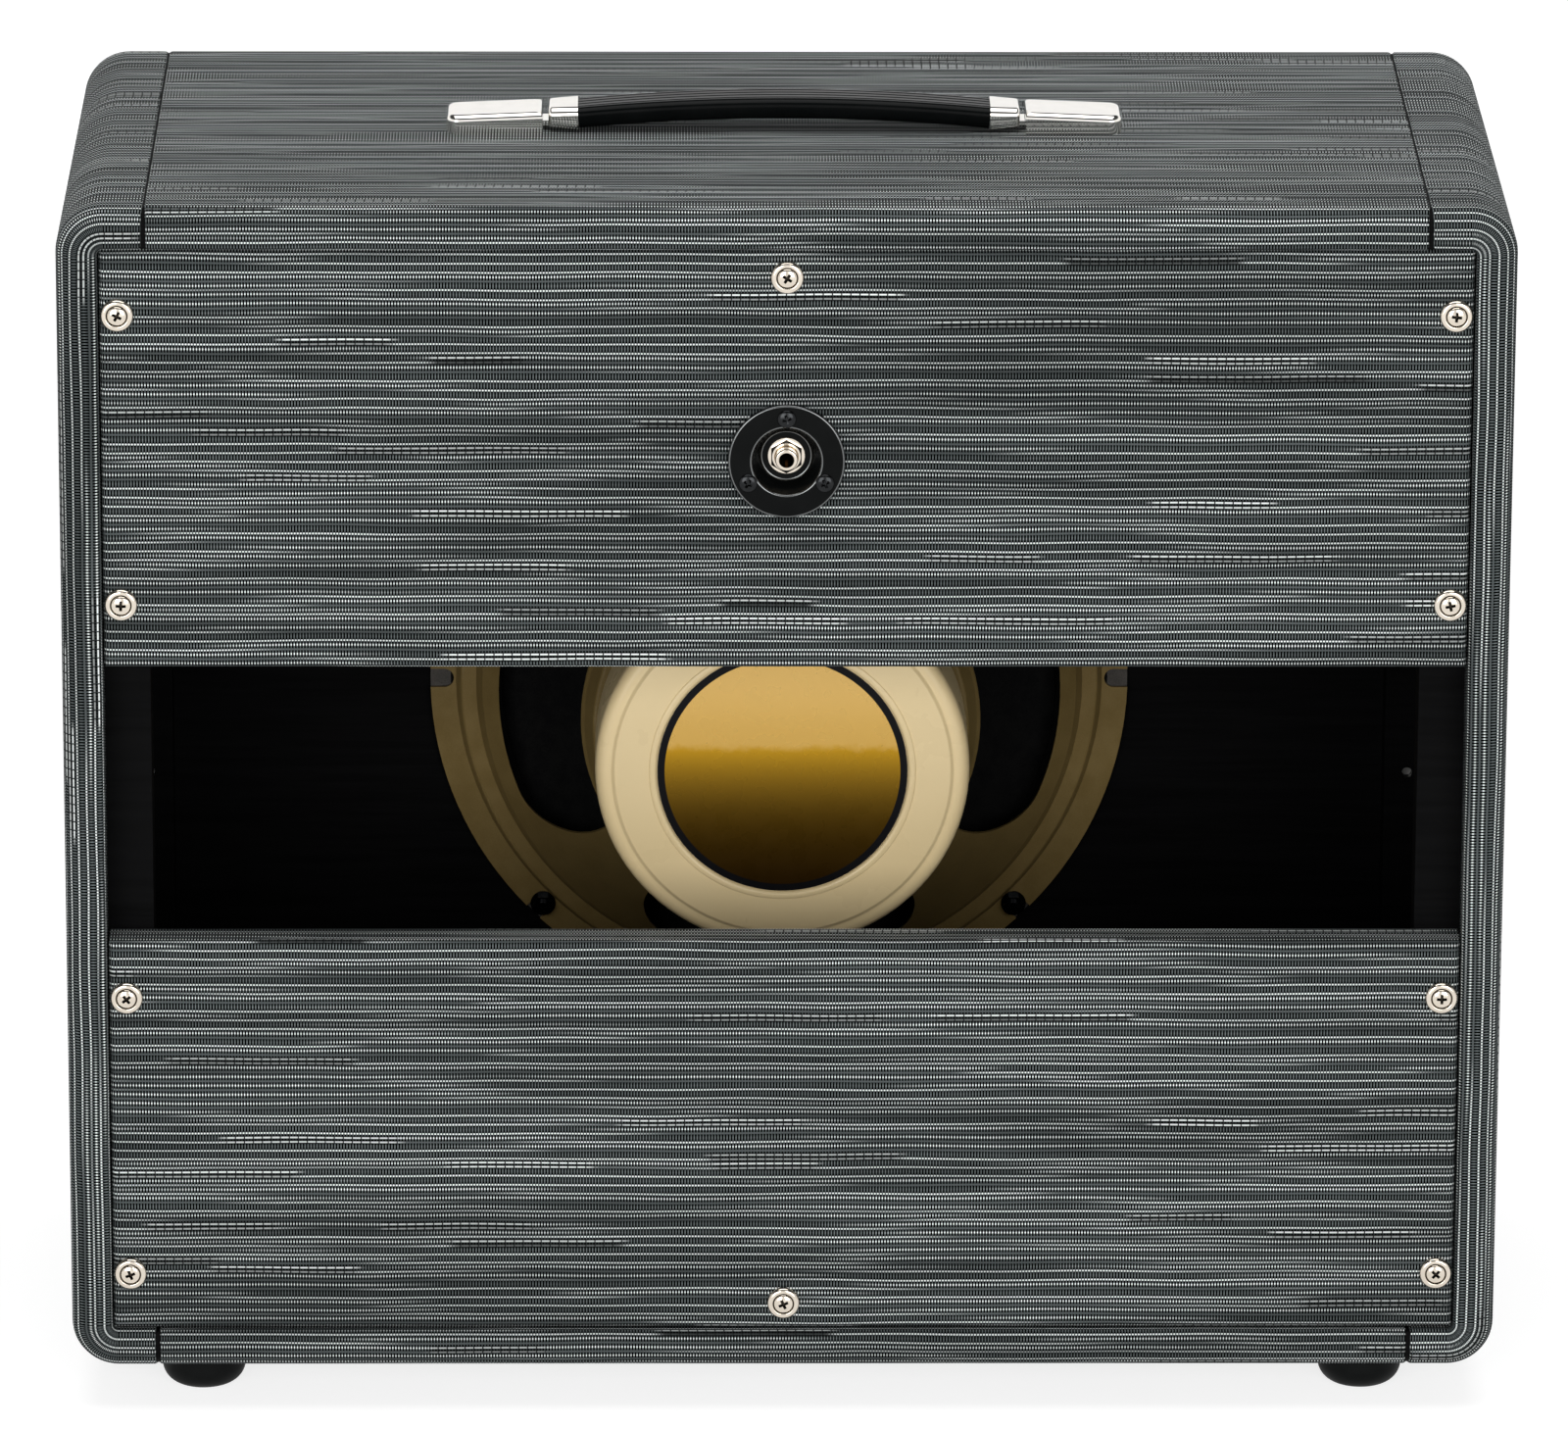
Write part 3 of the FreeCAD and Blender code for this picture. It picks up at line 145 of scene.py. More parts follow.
# Loudspeaker. Pleated rings: outer, bend and inner radius, start, drop and number of pleats
axis_z = (flange_low.z + flange_high.z) / 2
flange_gap = 0.0031
flange_y = baffle_high.y + flange_gap
surround = (0.1455, 0.1407, 0.1228, 0.0, 0.0045, 3)
surround_sheet = 0.0006
spider = (0.0795, 0.0705, 0.0231, 0.074, -0.008, 4)
spider_sheet = 0.0008
wave_steps = 12
wave_depth = 0.95
lathe_sides = 96
can_wall = 0.0032
can_edge = 0.0055
can_inner_edge = 0.003
can_step = 0.0014
can_step_start, can_step_end = 0.0744, 0.0722
can_lip = 0.0034
can_lip_rise = 0.0007
can_label_radius = 0.0543
can_label_depth = 0.0008

# Lead from the jack to the terminal strip, and the braids from the strip to the cone
lead_points = ((0, 0.1178, 0.440), (-0.006, 0.0758, 0.440), (-0.030, 0.0418, 0.420), (-0.056, 0.0098, 0.388),
               (-0.087, -0.0202, 0.362), (-0.0866, -0.0419, 0.3426), (-0.0748, -0.0562, 0.3308))
lead_diameter = 0.005
braid_route = ((0.10487, 0.05465), (0.064, 0.05465), (0.052, 0.03665))
braid_side = 0.021
braid_diameter = 0.0014

# Handle
grip_half_length = 0.0877
grip_width = 0.0225
grip_tall = 0.009
grip_rise = 0.0042
grip_edge = 0.0034
grip_base = 0.006
groove_count = 4
groove_spacing = 0.0042
groove_radius = 0.0007
groove_steps = 6
grip_steps = 40

# Stage, lights and camera. Each soft box has a place, a size and a power.
camera_place = (0.0566, 4.7032, 1.7429)
camera_target = (-0.0010, 0.0, 0.2705)
camera_roll = 0.0038
camera_reach = 60.0
focal_pixels = 11576.3
image_width = 1600
sensor = 36.0
floor_reach = 40.0
floor_pale = (0.80, 0.80, 0.80, 1.0)
floor_shadow = (0.40, 0.40, 0.40, 1.0)
near_floor, far_floor = 0.8, 2.6
near_glow, far_glow = 0.80, 0.93
sky_light = 0.22
backdrop_top, ceiling_start, ceiling_light = 0.42, 0.56, 0.06
soft_boxes = (("key", (1.3, 3.4, 0.98), 1.7, 45.0), ("fill", (-1.3, 3.4, 0.98), 1.7, 40.0),
              ("top", (0.0, 0.2, 2.7), 2.2, 49.0))

WEAVE_MAP = "weave"
RECESS_SHADE_MARK = "recess"
SHEEN_EDGE_MARK = "painted_sheen_edge"
SAME_POINT = 1e-6
QUARTER = math.pi / 2
SHARP = math.radians(38)
NUT_SHARP = math.radians(20)
ROUND_SHARP = math.radians(60)
ORIGIN = (0.0, 0.0, 0.0)
DOWN, UP = Vector((0, -1)), Vector((0, 1))
WHITE = (1.0, 1.0, 1.0, 1.0)
GREY = (0.5, 0.5, 0.5, 1.0)
TONES = ("First", "Second")


# Mesh helpers
def grid_mesh(name, rows, uvs=None, wrap=False, caps=False):
    """Quads over rows of points. Wrap joins each row's last point to its first, caps close both ends."""
    count = len(rows[0])
    faces = []
    for i in range(len(rows) - 1):
        for j in range(count if wrap else count - 1):
            k = (j + 1) % count
            faces.append((i * count + j, i * count + k, (i + 1) * count + k, (i + 1) * count + j))
    if caps:
        last = count * (len(rows) - 1)
        faces += [list(range(count)), list(range(last, last + count))]
    mesh = bpy.data.meshes.new(name)
    mesh.from_pydata([point for row in rows for point in row], [], faces)
    if uvs:
        layer = mesh.uv_layers.new(name=WEAVE_MAP)
        flat = [uv for row in uvs for uv in row]
        for loop in mesh.loops:
            layer.data[loop.index].uv = flat[loop.vertex_index]
    return mesh


def finish_mesh(mesh, about=None, sharp=SHARP):
    """Merge doubled points, face outwards and shade smooth apart from sharp edges."""
    shell = bmesh.new()
    shell.from_mesh(mesh)
    bmesh.ops.remove_doubles(shell, verts=shell.verts, dist=SAME_POINT)
    bmesh.ops.dissolve_degenerate(shell, dist=SAME_POINT, edges=shell.edges)
    bmesh.ops.recalc_face_normals(shell, faces=shell.faces)
    if about is not None:
        hub = Vector(about)
        if sum((f.calc_center_median() - hub).dot(f.normal) * f.calc_area() for f in shell.faces) < 0:
            bmesh.ops.reverse_faces(shell, faces=shell.faces)
    for face in shell.faces:
        face.smooth = True
    for edge in shell.edges:
        edge.smooth = len(edge.link_faces) != 2 or edge.calc_face_angle() < sharp
    shell.to_mesh(mesh)
    shell.free()
    return mesh


def add_object(name, data):
    """New object in the scene."""
    made = bpy.data.objects.new(name, data)
    bpy.context.scene.collection.objects.link(made)
    return made


def place(name, mesh, slot, body=None, stands_for=()):
    """Object of a finished mesh, with its finish, its body and the CAD nodes that it stands for."""
    mesh.materials.clear()
    mesh.materials.append(finishes[slot])
    made = add_object(name, mesh)
    if body:
        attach(made, body)
    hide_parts(*stands_for)
    return made


def baked(made):
    """Mesh of an object with its modifiers applied."""
    return bpy.data.meshes.new_from_object(made.evaluated_get(bpy.context.evaluated_depsgraph_get()))


def thicken(made, thickness, offset=-1):
    """Give a sheet its thickness."""
    wall = made.modifiers.new("thickness", "SOLIDIFY")
    wall.thickness = thickness
    wall.offset = offset


def arc(centre, radius, start, turn, steps):
    """Points of an arc as (first, second, angle)."""
    angles = [start + turn * step / steps for step in range(steps + 1)]
    return [(centre[0] + radius * math.cos(a), centre[1] + radius * math.sin(a), a) for a in angles]


def bend(centre, radius, start, turn, steps=bend_steps):
    """Points of an arc as (first, second)."""
    return [point[:2] for point in arc(centre, radius, start, turn, steps)]


def circle(radius, sides):
    """Points of a circle about nought as (first, second)."""
    return bend((0, 0), radius, 0.0, 4 * QUARTER, sides)[:-1]


def turned(name, profile, centre, upright=False):
    """Surface of revolution from (radius, along) points, about Y or about Z."""
    rows = []
    for radius, along in profile:
        rows.append([Vector(centre) + Vector((x, y, along) if upright else (x, along, y))
                     for x, y in circle(radius, lathe_sides)])
    return grid_mesh(name, rows, wrap=True)


def smoothstep(low, high, value):
    """Soft step from 0 at low to 1 at high."""
    t = min(max((value - low) / (high - low), 0), 1)
    return t * t * (3 - 2 * t)


# Shader helpers
class Wiring:
    """Adds nodes to one tree and joins them."""

    def __init__(self, tree):
        self.tree = tree

    def put(self, socket, value):
        """Link a socket, or set its value."""
        if isinstance(value, bpy.types.NodeSocket):
            self.tree.links.new(value, socket)
        else:
            socket.default_value = value

    def node(self, kind, inputs=None, **settings):
        """New node with its settings and inputs."""
        made = self.tree.nodes.new(kind)
        for name, value in settings.items():
            setattr(made, name, value)
        for name, value in (inputs or {}).items():
            self.put(made.inputs[name], value)
        return made

    def maths(self, operation, *values):
        """Result of one maths node."""
        return self.node("ShaderNodeMath", dict(enumerate(values)), operation=operation).outputs[0]

    times = partialmethod(maths, "MULTIPLY")
    plus = partialmethod(maths, "ADD")
    minus = partialmethod(maths, "SUBTRACT")
    over = partialmethod(maths, "DIVIDE")
    larger = partialmethod(maths, "MAXIMUM")
    floor = partialmethod(maths, "FLOOR")
    fraction = partialmethod(maths, "FRACT")

    def ranged(self, steps, *values):
        """Value mapped from one range to another."""
        made = self.node("ShaderNodeMapRange", dict(enumerate(values)), interpolation_type=steps)
        return made.outputs[0]

    def band(self, value, low, high):
        """Soft step from 0 at low to 1 at high, either way round."""
        return self.ranged("SMOOTHSTEP", value, low, high, 0.0, 1.0)

    def scaled(self, value, low, high):
        """Value from 0 to 1, mapped to a range."""
        return self.ranged("LINEAR", value, 0.0, 1.0, low, high)

    def blend(self, factor, first, second):
        """Number between two numbers."""
        return self.node("ShaderNodeMix", {0: factor, 2: first, 3: second}).outputs[0]

    def colour(self, factor, first, second):
        """Colour between two colours."""
        return self.node("ShaderNodeMix", {0: factor, 6: first, 7: second}, data_type="RGBA").outputs[2]

    def from_middle(self, value):
        """Distance of a value's fraction from one half."""
        return self.maths("ABSOLUTE", self.minus(self.fraction(value), 0.5))

    def chance(self, first, second):
        """Three fixed random values for a pair of whole numbers."""
        pair = {"Vector": self.vector(first, second)}
        made = self.node("ShaderNodeTexWhiteNoise", pair, noise_dimensions="2D")
        return self.node("ShaderNodeSeparateColor", {0: made.outputs["Color"]}).outputs

    def vector(self, x, y):
        """Flat vector of two values."""
        return self.node("ShaderNodeCombineXYZ", {0: x, 1: y, 2: 0.0}).outputs[0]

    def parts(self, vector):
        """Three parts of a vector."""
        return self.node("ShaderNodeSeparateXYZ", {0: vector}).outputs

    def stretched(self, vector, factors):
        """Vector with each of its parts multiplied."""
        return self.node("ShaderNodeVectorMath", {0: vector, 1: factors}, operation="MULTIPLY").outputs[0]

    def length(self, vector):
        """Length of a vector."""
        return self.node("ShaderNodeVectorMath", {0: vector}, operation="LENGTH").outputs["Value"]

    def noise(self, vector, scale, detail, dimensions="3D"):
        """Smooth noise from 0 to 1."""
        inputs = {"Vector": vector, "Scale": scale, "Detail": detail}
        return self.node("ShaderNodeTexNoise", inputs, noise_dimensions=dimensions).outputs["Fac"]


def shader_group(name, values, colours):
    """Empty pattern group with outputs for colour, roughness and relief: its wiring and its inputs."""
    tree = bpy.data.node_groups.new(name, "ShaderNodeTree")
    inputs = [("Place", "Vector", ORIGIN)] + [(label, "Float", value) for label, value in values.items()]
    for label, kind, value in inputs + [(label, "Color", GREY) for label in colours]:
        socket = tree.interface.new_socket(label, in_out="INPUT", socket_type="NodeSocket" + kind)
        socket.default_value = value
    for label, kind in (("Color", "Color"), ("Roughness", "Float"), ("Height", "Float")):
        tree.interface.new_socket(label, in_out="OUTPUT", socket_type="NodeSocket" + kind)
    return Wiring(tree), tree.nodes.new("NodeGroupInput").outputs


def give(net, colour, roughness, height):
    """Join the three outputs of a pattern and return its group."""
    result = net.tree.nodes.new("NodeGroupOutput").inputs
    for label, value in (("Color", colour), ("Roughness", roughness), ("Height", height)):
        net.put(result[label], value)
    return net.tree


def woven_pattern():
    """Striped weave of light picks in dark warp, with wandering rows and long slubs."""
    wander_along, wander_across = 13, 60
    light_along, light_start, light_row = 5, 57, 91
    drift_along, drift_across = 3.5, 55
    slub_start, dots_to_dash = 41, 3.0
    net, source = shader_group("woven_cover", {
        "Row Pitch": 0.00196, "Dot Pitch": 0.001277, "Wander": 0.0014, "Slub Length": 0.105,
        "Slub Share": 0.10}, ("Ground", "Thread", "Light Thread"))
    split = net.parts(source["Place"])
    along, across = split[0], split[1]
    spot = net.vector(net.times(along, wander_along), net.times(across, wander_across))
    wander = net.times(net.minus(net.noise(spot, 1.0, 1.0, "2D"), 0.5), source["Wander"])
    level = net.over(net.plus(across, wander), source["Row Pitch"])
    row = net.floor(level)
    rise = net.from_middle(level)
    odd = net.maths("FLOORED_MODULO", row, 2.0)
    count = net.over(along, source["Dot Pitch"])
    side = net.from_middle(net.plus(count, net.times(odd, 0.5)))
    # Even rows are flat picks on a continuous line, odd rows are round picks between black bars.
    line = net.band(rise, 0.30, 0.14)
    even_ground = net.larger(net.times(line, 0.42), net.band(side, 0.34, 0.44))
    ground = net.blend(odd, even_ground, net.band(side, 0.25, 0.13))
    wide = net.over(side, net.blend(odd, 0.36, 0.27))
    tall = net.over(rise, net.blend(odd, 0.22, 0.30))
    reach = net.maths("SQRT", net.plus(net.times(wide, wide), net.times(tall, tall)))
    dot = net.band(reach, 1.08, 0.70)
    # The light thread comes and goes along each row.
    pair = net.floor(net.times(row, 0.5))
    start = net.chance(pair, 0.5)
    spot = net.vector(net.plus(net.times(along, light_along), net.times(start[1], light_start)),
                      net.times(start[2], light_row))
    fade = net.noise(spot, 1.0, 0.0, "2D")
    fade = net.blend(odd, net.band(fade, 0.40, 0.52), net.band(fade, 0.56, 0.44))
    fade = net.scaled(fade, 0.06, 1.0)
    # Broad darker and lighter drifts run along the rows.
    spot = net.vector(net.times(along, drift_along), net.times(across, drift_across))
    depth = net.band(net.noise(spot, 1.0, 2.0, "2D"), 0.34, 0.62)
    fade = net.times(fade, net.scaled(depth, 0.68, 1.0))
    # A slub takes the place of a pair of rows over part of its length, as a dashed line.
    stretch = net.plus(net.over(along, source["Slub Length"]), net.times(start[0], slub_start))
    picked = net.chance(net.floor(stretch), pair)
    kind = net.chance(pair, net.floor(stretch))
    from_end = net.minus(net.scaled(picked[1], 0.22, 0.5), net.from_middle(stretch))
    chosen = net.maths("LESS_THAN", picked[0], source["Slub Share"])
    slub = net.times(chosen, net.band(from_end, 0.0, 0.07))
    dash = net.band(net.fraction(net.over(count, dots_to_dash)), 0.10, 0.20)
    light = net.scaled(kind[0], 0.25, 1.0)
    light = net.blend(odd, net.times(light, kind[1]), light)
    slub_line = net.times(net.times(net.band(rise, 0.24, 0.12), dash), light)
    shade = net.blend(slub, net.times(dot, fade), slub_line)
    ground = net.times(net.times(ground, net.scaled(depth, 0.62, 1.0)), net.blend(slub, 1.0, 0.25))
    base = net.colour(ground, source["Ground"], source["Thread"])
    return give(net, net.colour(shade, base, source["Light Thread"]),
                net.scaled(net.larger(ground, dot), 0.70, 0.48),
                net.plus(net.times(ground, 0.5), net.times(dot, 0.5)))


def mottled_pattern():
    """Two tones and a fine grain, for moulded, painted and pressed surfaces. Shade 1 gives a light metal
    tone, a painted sheen.
    """
    # Light metal tone of the painted sheen.
    worn = (0.13, 0.135, 0.135, 1.0)
    net, source = shader_group("mottled", {
        "Scale": 60.0, "Grain": 1500.0, "Smooth": 0.3, "Rough": 0.5, "Shade": 0.0}, TONES)
    cloud = net.noise(source["Place"], source["Scale"], 4.0)
    grain = net.noise(source["Place"], source["Grain"], 2.0)
    mixed = net.plus(net.times(cloud, 0.6), net.times(grain, 0.4))
    tone = net.colour(net.band(mixed, 0.35, 0.65), source["First"], source["Second"])
    rough = net.blend(net.band(cloud, 0.3, 0.7), source["Smooth"], source["Rough"])
    return give(net, net.colour(source["Shade"], tone, worn), rough, grain)


def wood_pattern():
    """Grain along X, under paint or bare."""
    net, source = shader_group("wood", {"Grain": 260.0, "Smooth": 0.45, "Rough": 0.7}, TONES)
    fibre = net.noise(net.stretched(source["Place"], (0.06, 1.0, 1.0)), source["Grain"], 5.0)
    cloud = net.noise(source["Place"], 14.0, 3.0)
    mixed = net.plus(net.times(fibre, 0.7), net.times(cloud, 0.3))
    tone = net.colour(net.band(mixed, 0.32, 0.68), source["First"], source["Second"])
    return give(net, tone, net.blend(fibre, source["Smooth"], source["Rough"]), fibre)


def cloth_pattern():
    """Plain weave of two threads, each thread with a tone of its own."""
    net, source = shader_group("plain_weave", {"Pitch": 0.0012}, ("Gap", "Warp", "Weft"))
    scale = {0: source["Place"], "Scale": net.over(1.0, source["Pitch"])}
    split = net.parts(net.node("ShaderNodeVectorMath", scale, operation="SCALE").outputs[0])
    cells = [net.floor(split[i]) for i in range(2)]
    sides = [net.from_middle(split[i]) for i in range(2)]
    over = net.maths("FLOORED_MODULO", net.plus(cells[0], cells[1]), 2.0)
    near = net.blend(over, sides[0], sides[1])
    far = net.blend(over, sides[1], sides[0])
    crown = net.times(net.band(near, 0.48, 0.18), net.band(far, 0.9, 0.1))
    tone = net.noise(source["Place"], 40.0, 3.0)
    thread = net.colour(over, source["Warp"], source["Weft"])
    own = net.blend(over, net.chance(cells[0], 0.5)[0], net.chance(cells[1], 1.5)[0])
    lit = net.times(crown, net.times(net.scaled(tone, 0.7, 1.2), net.scaled(own, 0.55, 1.25)))
    return give(net, net.colour(lit, source["Gap"], thread), net.scaled(crown, 0.95, 0.75), crown)


def plated_pattern():
    """Polished or plated metal with faint scratches and haze. Shade 1 paints dark shade into a recess."""
    # Dark tone of the painted shade in recesses.
    painted_recess_shade = (0.03, 0.025, 0.02, 1.0)
    net, source = shader_group("plated", {"Smooth": 0.08, "Rough": 0.2, "Shade": 0.0}, TONES)
    level = net.noise(net.stretched(source["Place"], (0.08, 1.0, 1.0)), 2600.0, 2.0)
    upright = net.noise(net.stretched(source["Place"], (1.0, 1.0, 0.1)), 3100.0, 2.0)
    scratch = net.band(net.larger(level, upright), 0.60, 0.82)
    haze = net.noise(source["Place"], 120.0, 3.0)
    plate = net.colour(net.band(haze, 0.35, 0.7), source["First"], source["Second"])
    rough = net.blend(net.band(haze, 0.35, 0.75), source["Smooth"], source["Rough"])
    return give(net, net.colour(source["Shade"], plate, painted_recess_shade),
                net.plus(rough, net.times(scratch, 0.08)), net.minus(haze, scratch))


def wound_pattern():
    """Turns of wire along Y."""
    net, source = shader_group("wound", {"Pitch": 0.0003, "Smooth": 0.3, "Rough": 0.5}, TONES)
    turn = net.fraction(net.over(net.parts(source["Place"])[1], source["Pitch"]))
    crown = net.maths("SINE", net.times(turn, math.pi))
    cloud = net.noise(source["Place"], 300.0, 2.0)
    mixed = net.times(crown, net.scaled(cloud, 0.6, 1.3))
    tone = net.colour(net.band(mixed, 0.1, 0.8), source["Second"], source["First"])
    return give(net, tone, net.blend(crown, source["Rough"], source["Smooth"]), crown)


def label_pattern():
    """Gold foil disc with a painted reflection: gold above, darkening to bronze and brown below, and a black
    printed ring round its edge.
    """
    ring_edge = 0.0002
    shade_fall_start, shade_fall_length = 0.010, 0.017
    painted_shade_top, painted_shade_bottom, painted_shade_share = 0.045, 0.012, 0.35
    painted_edge_high, painted_edge_low, painted_edge_wave = 0.0130, 0.0085, 0.0045
    net, source = shader_group(
        "foil_label", {"Ring Radius": 0.0508}, ("Gold", "Painted Shade Bronze", "Painted Shade Brown", "Ring"))
    shift = {0: source["Place"], 1: (0.0, 0.0, axis_z)}
    centred = net.node("ShaderNodeVectorMath", shift, operation="SUBTRACT").outputs[0]
    reach = net.length(net.stretched(centred, (1.0, 0.0, 1.0)))
    ring = net.band(net.minus(reach, source["Ring Radius"]), 0.0, ring_edge)
    crumple = net.noise(source["Place"], 150.0, 1.0)
    haze = net.noise(source["Place"], 260.0, 3.0)
    height = net.parts(centred)[2]
    # Painted reflection: below the centre the foil darkens from bronze to brown.
    below = net.maths("MINIMUM", net.minus(height, shade_fall_start), 0.0)
    fall = net.minus(1.0, net.maths("EXPONENT", net.over(below, shade_fall_length)))
    lower = net.colour(fall, source["Painted Shade Bronze"], source["Painted Shade Brown"])
    # Painted shade: the gold dims a little towards the centre.
    lit = net.times(net.band(height, painted_shade_top, painted_shade_bottom), painted_shade_share)
    upper = net.colour(lit, source["Gold"], source["Painted Shade Bronze"])
    # A wavy painted edge parts the gold from the painted reflection below it.
    step = net.plus(height, net.times(net.minus(haze, 0.5), painted_edge_wave))
    gold = net.colour(net.band(step, painted_edge_high, painted_edge_low), upper, lower)
    rough = net.plus(net.scaled(crumple, 0.22, 0.34), net.times(ring, 0.15))
    return give(net, net.colour(ring, gold, source["Ring"]), rough, crumple)


patterns = {
    "woven": woven_pattern(), "mottled": mottled_pattern(), "wood": wood_pattern(), "cloth": cloth_pattern(),
    "plated": plated_pattern(), "wound": wound_pattern(), "label": label_pattern()}


def tones(first, second):
    """Colours of a two-tone pattern."""
    return dict(zip(TONES, (first, second)))


def mottled(*values):
    """Mottled pattern with its inputs: scale, grain, smooth, rough and two tones."""
    return "mottled", dict(zip(("Scale", "Grain", "Smooth", "Rough", *TONES), values))


def plated(*values):
    """Plated pattern with its inputs: smooth, rough and two tones."""
    return "plated", dict(zip(("Smooth", "Rough", *TONES), values))


def gloss(level, metallic=0.0):
    """Shader settings for a surface's shine."""
    return {"Specular IOR Level": level, "Metallic": metallic}


# One finish for each material slot of the record: slot, relief, shader settings, and pattern with its inputs
METAL = {"Metallic": 1.0}
mapped_slots = ("covering_vinyl", "grille_cloth")
slot_marks = {"dish_black": SHEEN_EDGE_MARK, "nickel": RECESS_SHADE_MARK}
finish_rows = (
    ("covering_vinyl", 8e-5, gloss(0.03), ("woven", {
        "Ground": (0.0004, 0.0008, 0.0008), "Thread": (0.120, 0.139, 0.142),
        "Light Thread": (0.86, 0.90, 0.89)})),
    ("grille_cloth", 3e-4, {}, ("cloth", {
        "Pitch": 0.0011, "Gap": (0.004, 0.004, 0.005), "Warp": (0.035, 0.036, 0.038),
        "Weft": (0.10, 0.10, 0.105)})),
    ("black_wood", 2e-4, gloss(0.03),
     ("wood", tones((0.0016, 0.0016, 0.0017), (0.0036, 0.0036, 0.0038)))),
    ("plywood", 2e-4, {}, ("wood", tones((0.52, 0.36, 0.20), (0.68, 0.52, 0.33)))),
    ("basket_paint", 4e-5, gloss(0.12),
     mottled(90, 1400, 0.30, 0.42, (0.185, 0.127, 0.044), (0.215, 0.150, 0.055))),
    ("gasket_paper", 3e-4, {},
     mottled(200, 1800, 0.80, 0.95, (0.05, 0.045, 0.04), (0.085, 0.078, 0.07))),
    ("cone_paper", 3e-4, gloss(0.04),
     mottled(160, 1100, 0.75, 0.95, (0.004, 0.004, 0.0043), (0.008, 0.008, 0.0078))),
    ("spider_cloth", 2e-4, {}, ("cloth", {
        "Pitch": 0.0009, "Gap": (0.12, 0.07, 0.02), "Warp": (0.46, 0.30, 0.12),
        "Weft": (0.52, 0.35, 0.15)})),
    ("former_film", 5e-5, {},
     mottled(120, 900, 0.20, 0.35, (0.42, 0.20, 0.04), (0.50, 0.26, 0.06))),
    ("copper", 1e-4, METAL, ("wound", {
        "Pitch": 0.0004, "Smooth": 0.25, "Rough": 0.5, **tones((0.80, 0.42, 0.22), (0.40, 0.17, 0.07))})),
    ("steel", 3e-5, METAL, plated(0.28, 0.42, (0.62, 0.62, 0.60), (0.54, 0.54, 0.53))),
    ("ferrite", 3e-4, {},
     mottled(110, 1300, 0.55, 0.80, (0.030, 0.030, 0.032), (0.055, 0.054, 0.054))),
    ("cover_cream", 4e-6, gloss(0.35),
     mottled(35, 2200, 0.26, 0.32, (0.83, 0.655, 0.365), (0.845, 0.67, 0.378))),
    # Bronze and brown are the painted reflection of the foil.
    ("label_gold", 1e-5, gloss(0.1, 0.35), ("label", {
        "Gold": (0.68, 0.435, 0.135), "Painted Shade Bronze": (0.50, 0.27, 0.012), "Painted Shade Brown": (0.014, 0.005, 0.0005),
        "Ring": (0.004, 0.004, 0.005)})),
    ("phenolic", 8e-5, {},
     mottled(240, 2000, 0.35, 0.50, (0.040, 0.019, 0.009), (0.062, 0.031, 0.014))),
    ("lead_black", 6e-5, gloss(0.25),
     mottled(180, 1600, 0.38, 0.50, (0.008, 0.008, 0.009), (0.014, 0.014, 0.015))),
    ("dish_black", 5e-6, gloss(0.055),
     mottled(70, 2600, 0.14, 0.20, (0.0025, 0.003, 0.003), (0.004, 0.0045, 0.0045))),
    ("nickel", 4e-6, METAL, plated(0.09, 0.15, (0.665, 0.60, 0.515), (0.625, 0.56, 0.475))),
    ("black_steel", 8e-6, METAL,
     mottled(260, 2400, 0.14, 0.22, (0.018, 0.019, 0.020), (0.026, 0.027, 0.028))),
    ("foot_rubber", 4e-5, gloss(0.07),
     mottled(90, 1700, 0.42, 0.58, (0.0025, 0.003, 0.003), (0.005, 0.0056, 0.0056))),
    ("chrome", 1e-6, METAL, plated(0.03, 0.05, (0.90, 0.875, 0.83), (0.87, 0.845, 0.80))),
    ("grip_black", 1e-5, gloss(0.06),
     mottled(45, 1500, 0.17, 0.24, (0.0016, 0.0022, 0.0022), (0.003, 0.0036, 0.0036))))


def finish(name, relief, shader, look):
    """Material from a pattern: colour, roughness and relief change over the surface."""
    pattern, values = look
    material = bpy.data.materials.new(name)
    material.use_nodes = True
    net = Wiring(material.node_tree)
    surface = material.node_tree.nodes["Principled BSDF"].inputs
    for label, value in shader.items():
        surface[label].default_value = value
    if name in mapped_slots:
        source = net.node("ShaderNodeUVMap", uv_map=WEAVE_MAP).outputs["UV"]
    else:
        source = net.node("ShaderNodeTexCoord").outputs["Object"]
    group = net.node("ShaderNodeGroup", node_tree=patterns[pattern])
    net.put(group.inputs["Place"], source)
    for label, value in values.items():
        group.inputs[label].default_value = (*value, 1.0) if isinstance(value, tuple) else value
    # A mark paints shade into recesses, or a sheen on rounded lips.
    mark = slot_marks.get(name)
    if mark:
        marked = net.node("ShaderNodeAttribute", attribute_name=mark).outputs["Fac"]
        net.put(group.inputs["Shade"], marked)
    # Painted sheen: the marked lips turn to metal and stand in for their highlights; the reflections in that
    # metal are rendered.
    if mark == SHEEN_EDGE_MARK:
        net.put(surface["Metallic"], marked)
    height = group.outputs["Height"]
    bump = net.node("ShaderNodeBump", {"Distance": relief, "Strength": 1.0, "Height": height})
    net.put(surface["Base Color"], group.outputs["Color"])
    net.put(surface["Roughness"], group.outputs["Roughness"])
    net.put(surface["Normal"], bump.outputs["Normal"])
    return material


finishes = {row[0]: finish(*row) for row in finish_rows}


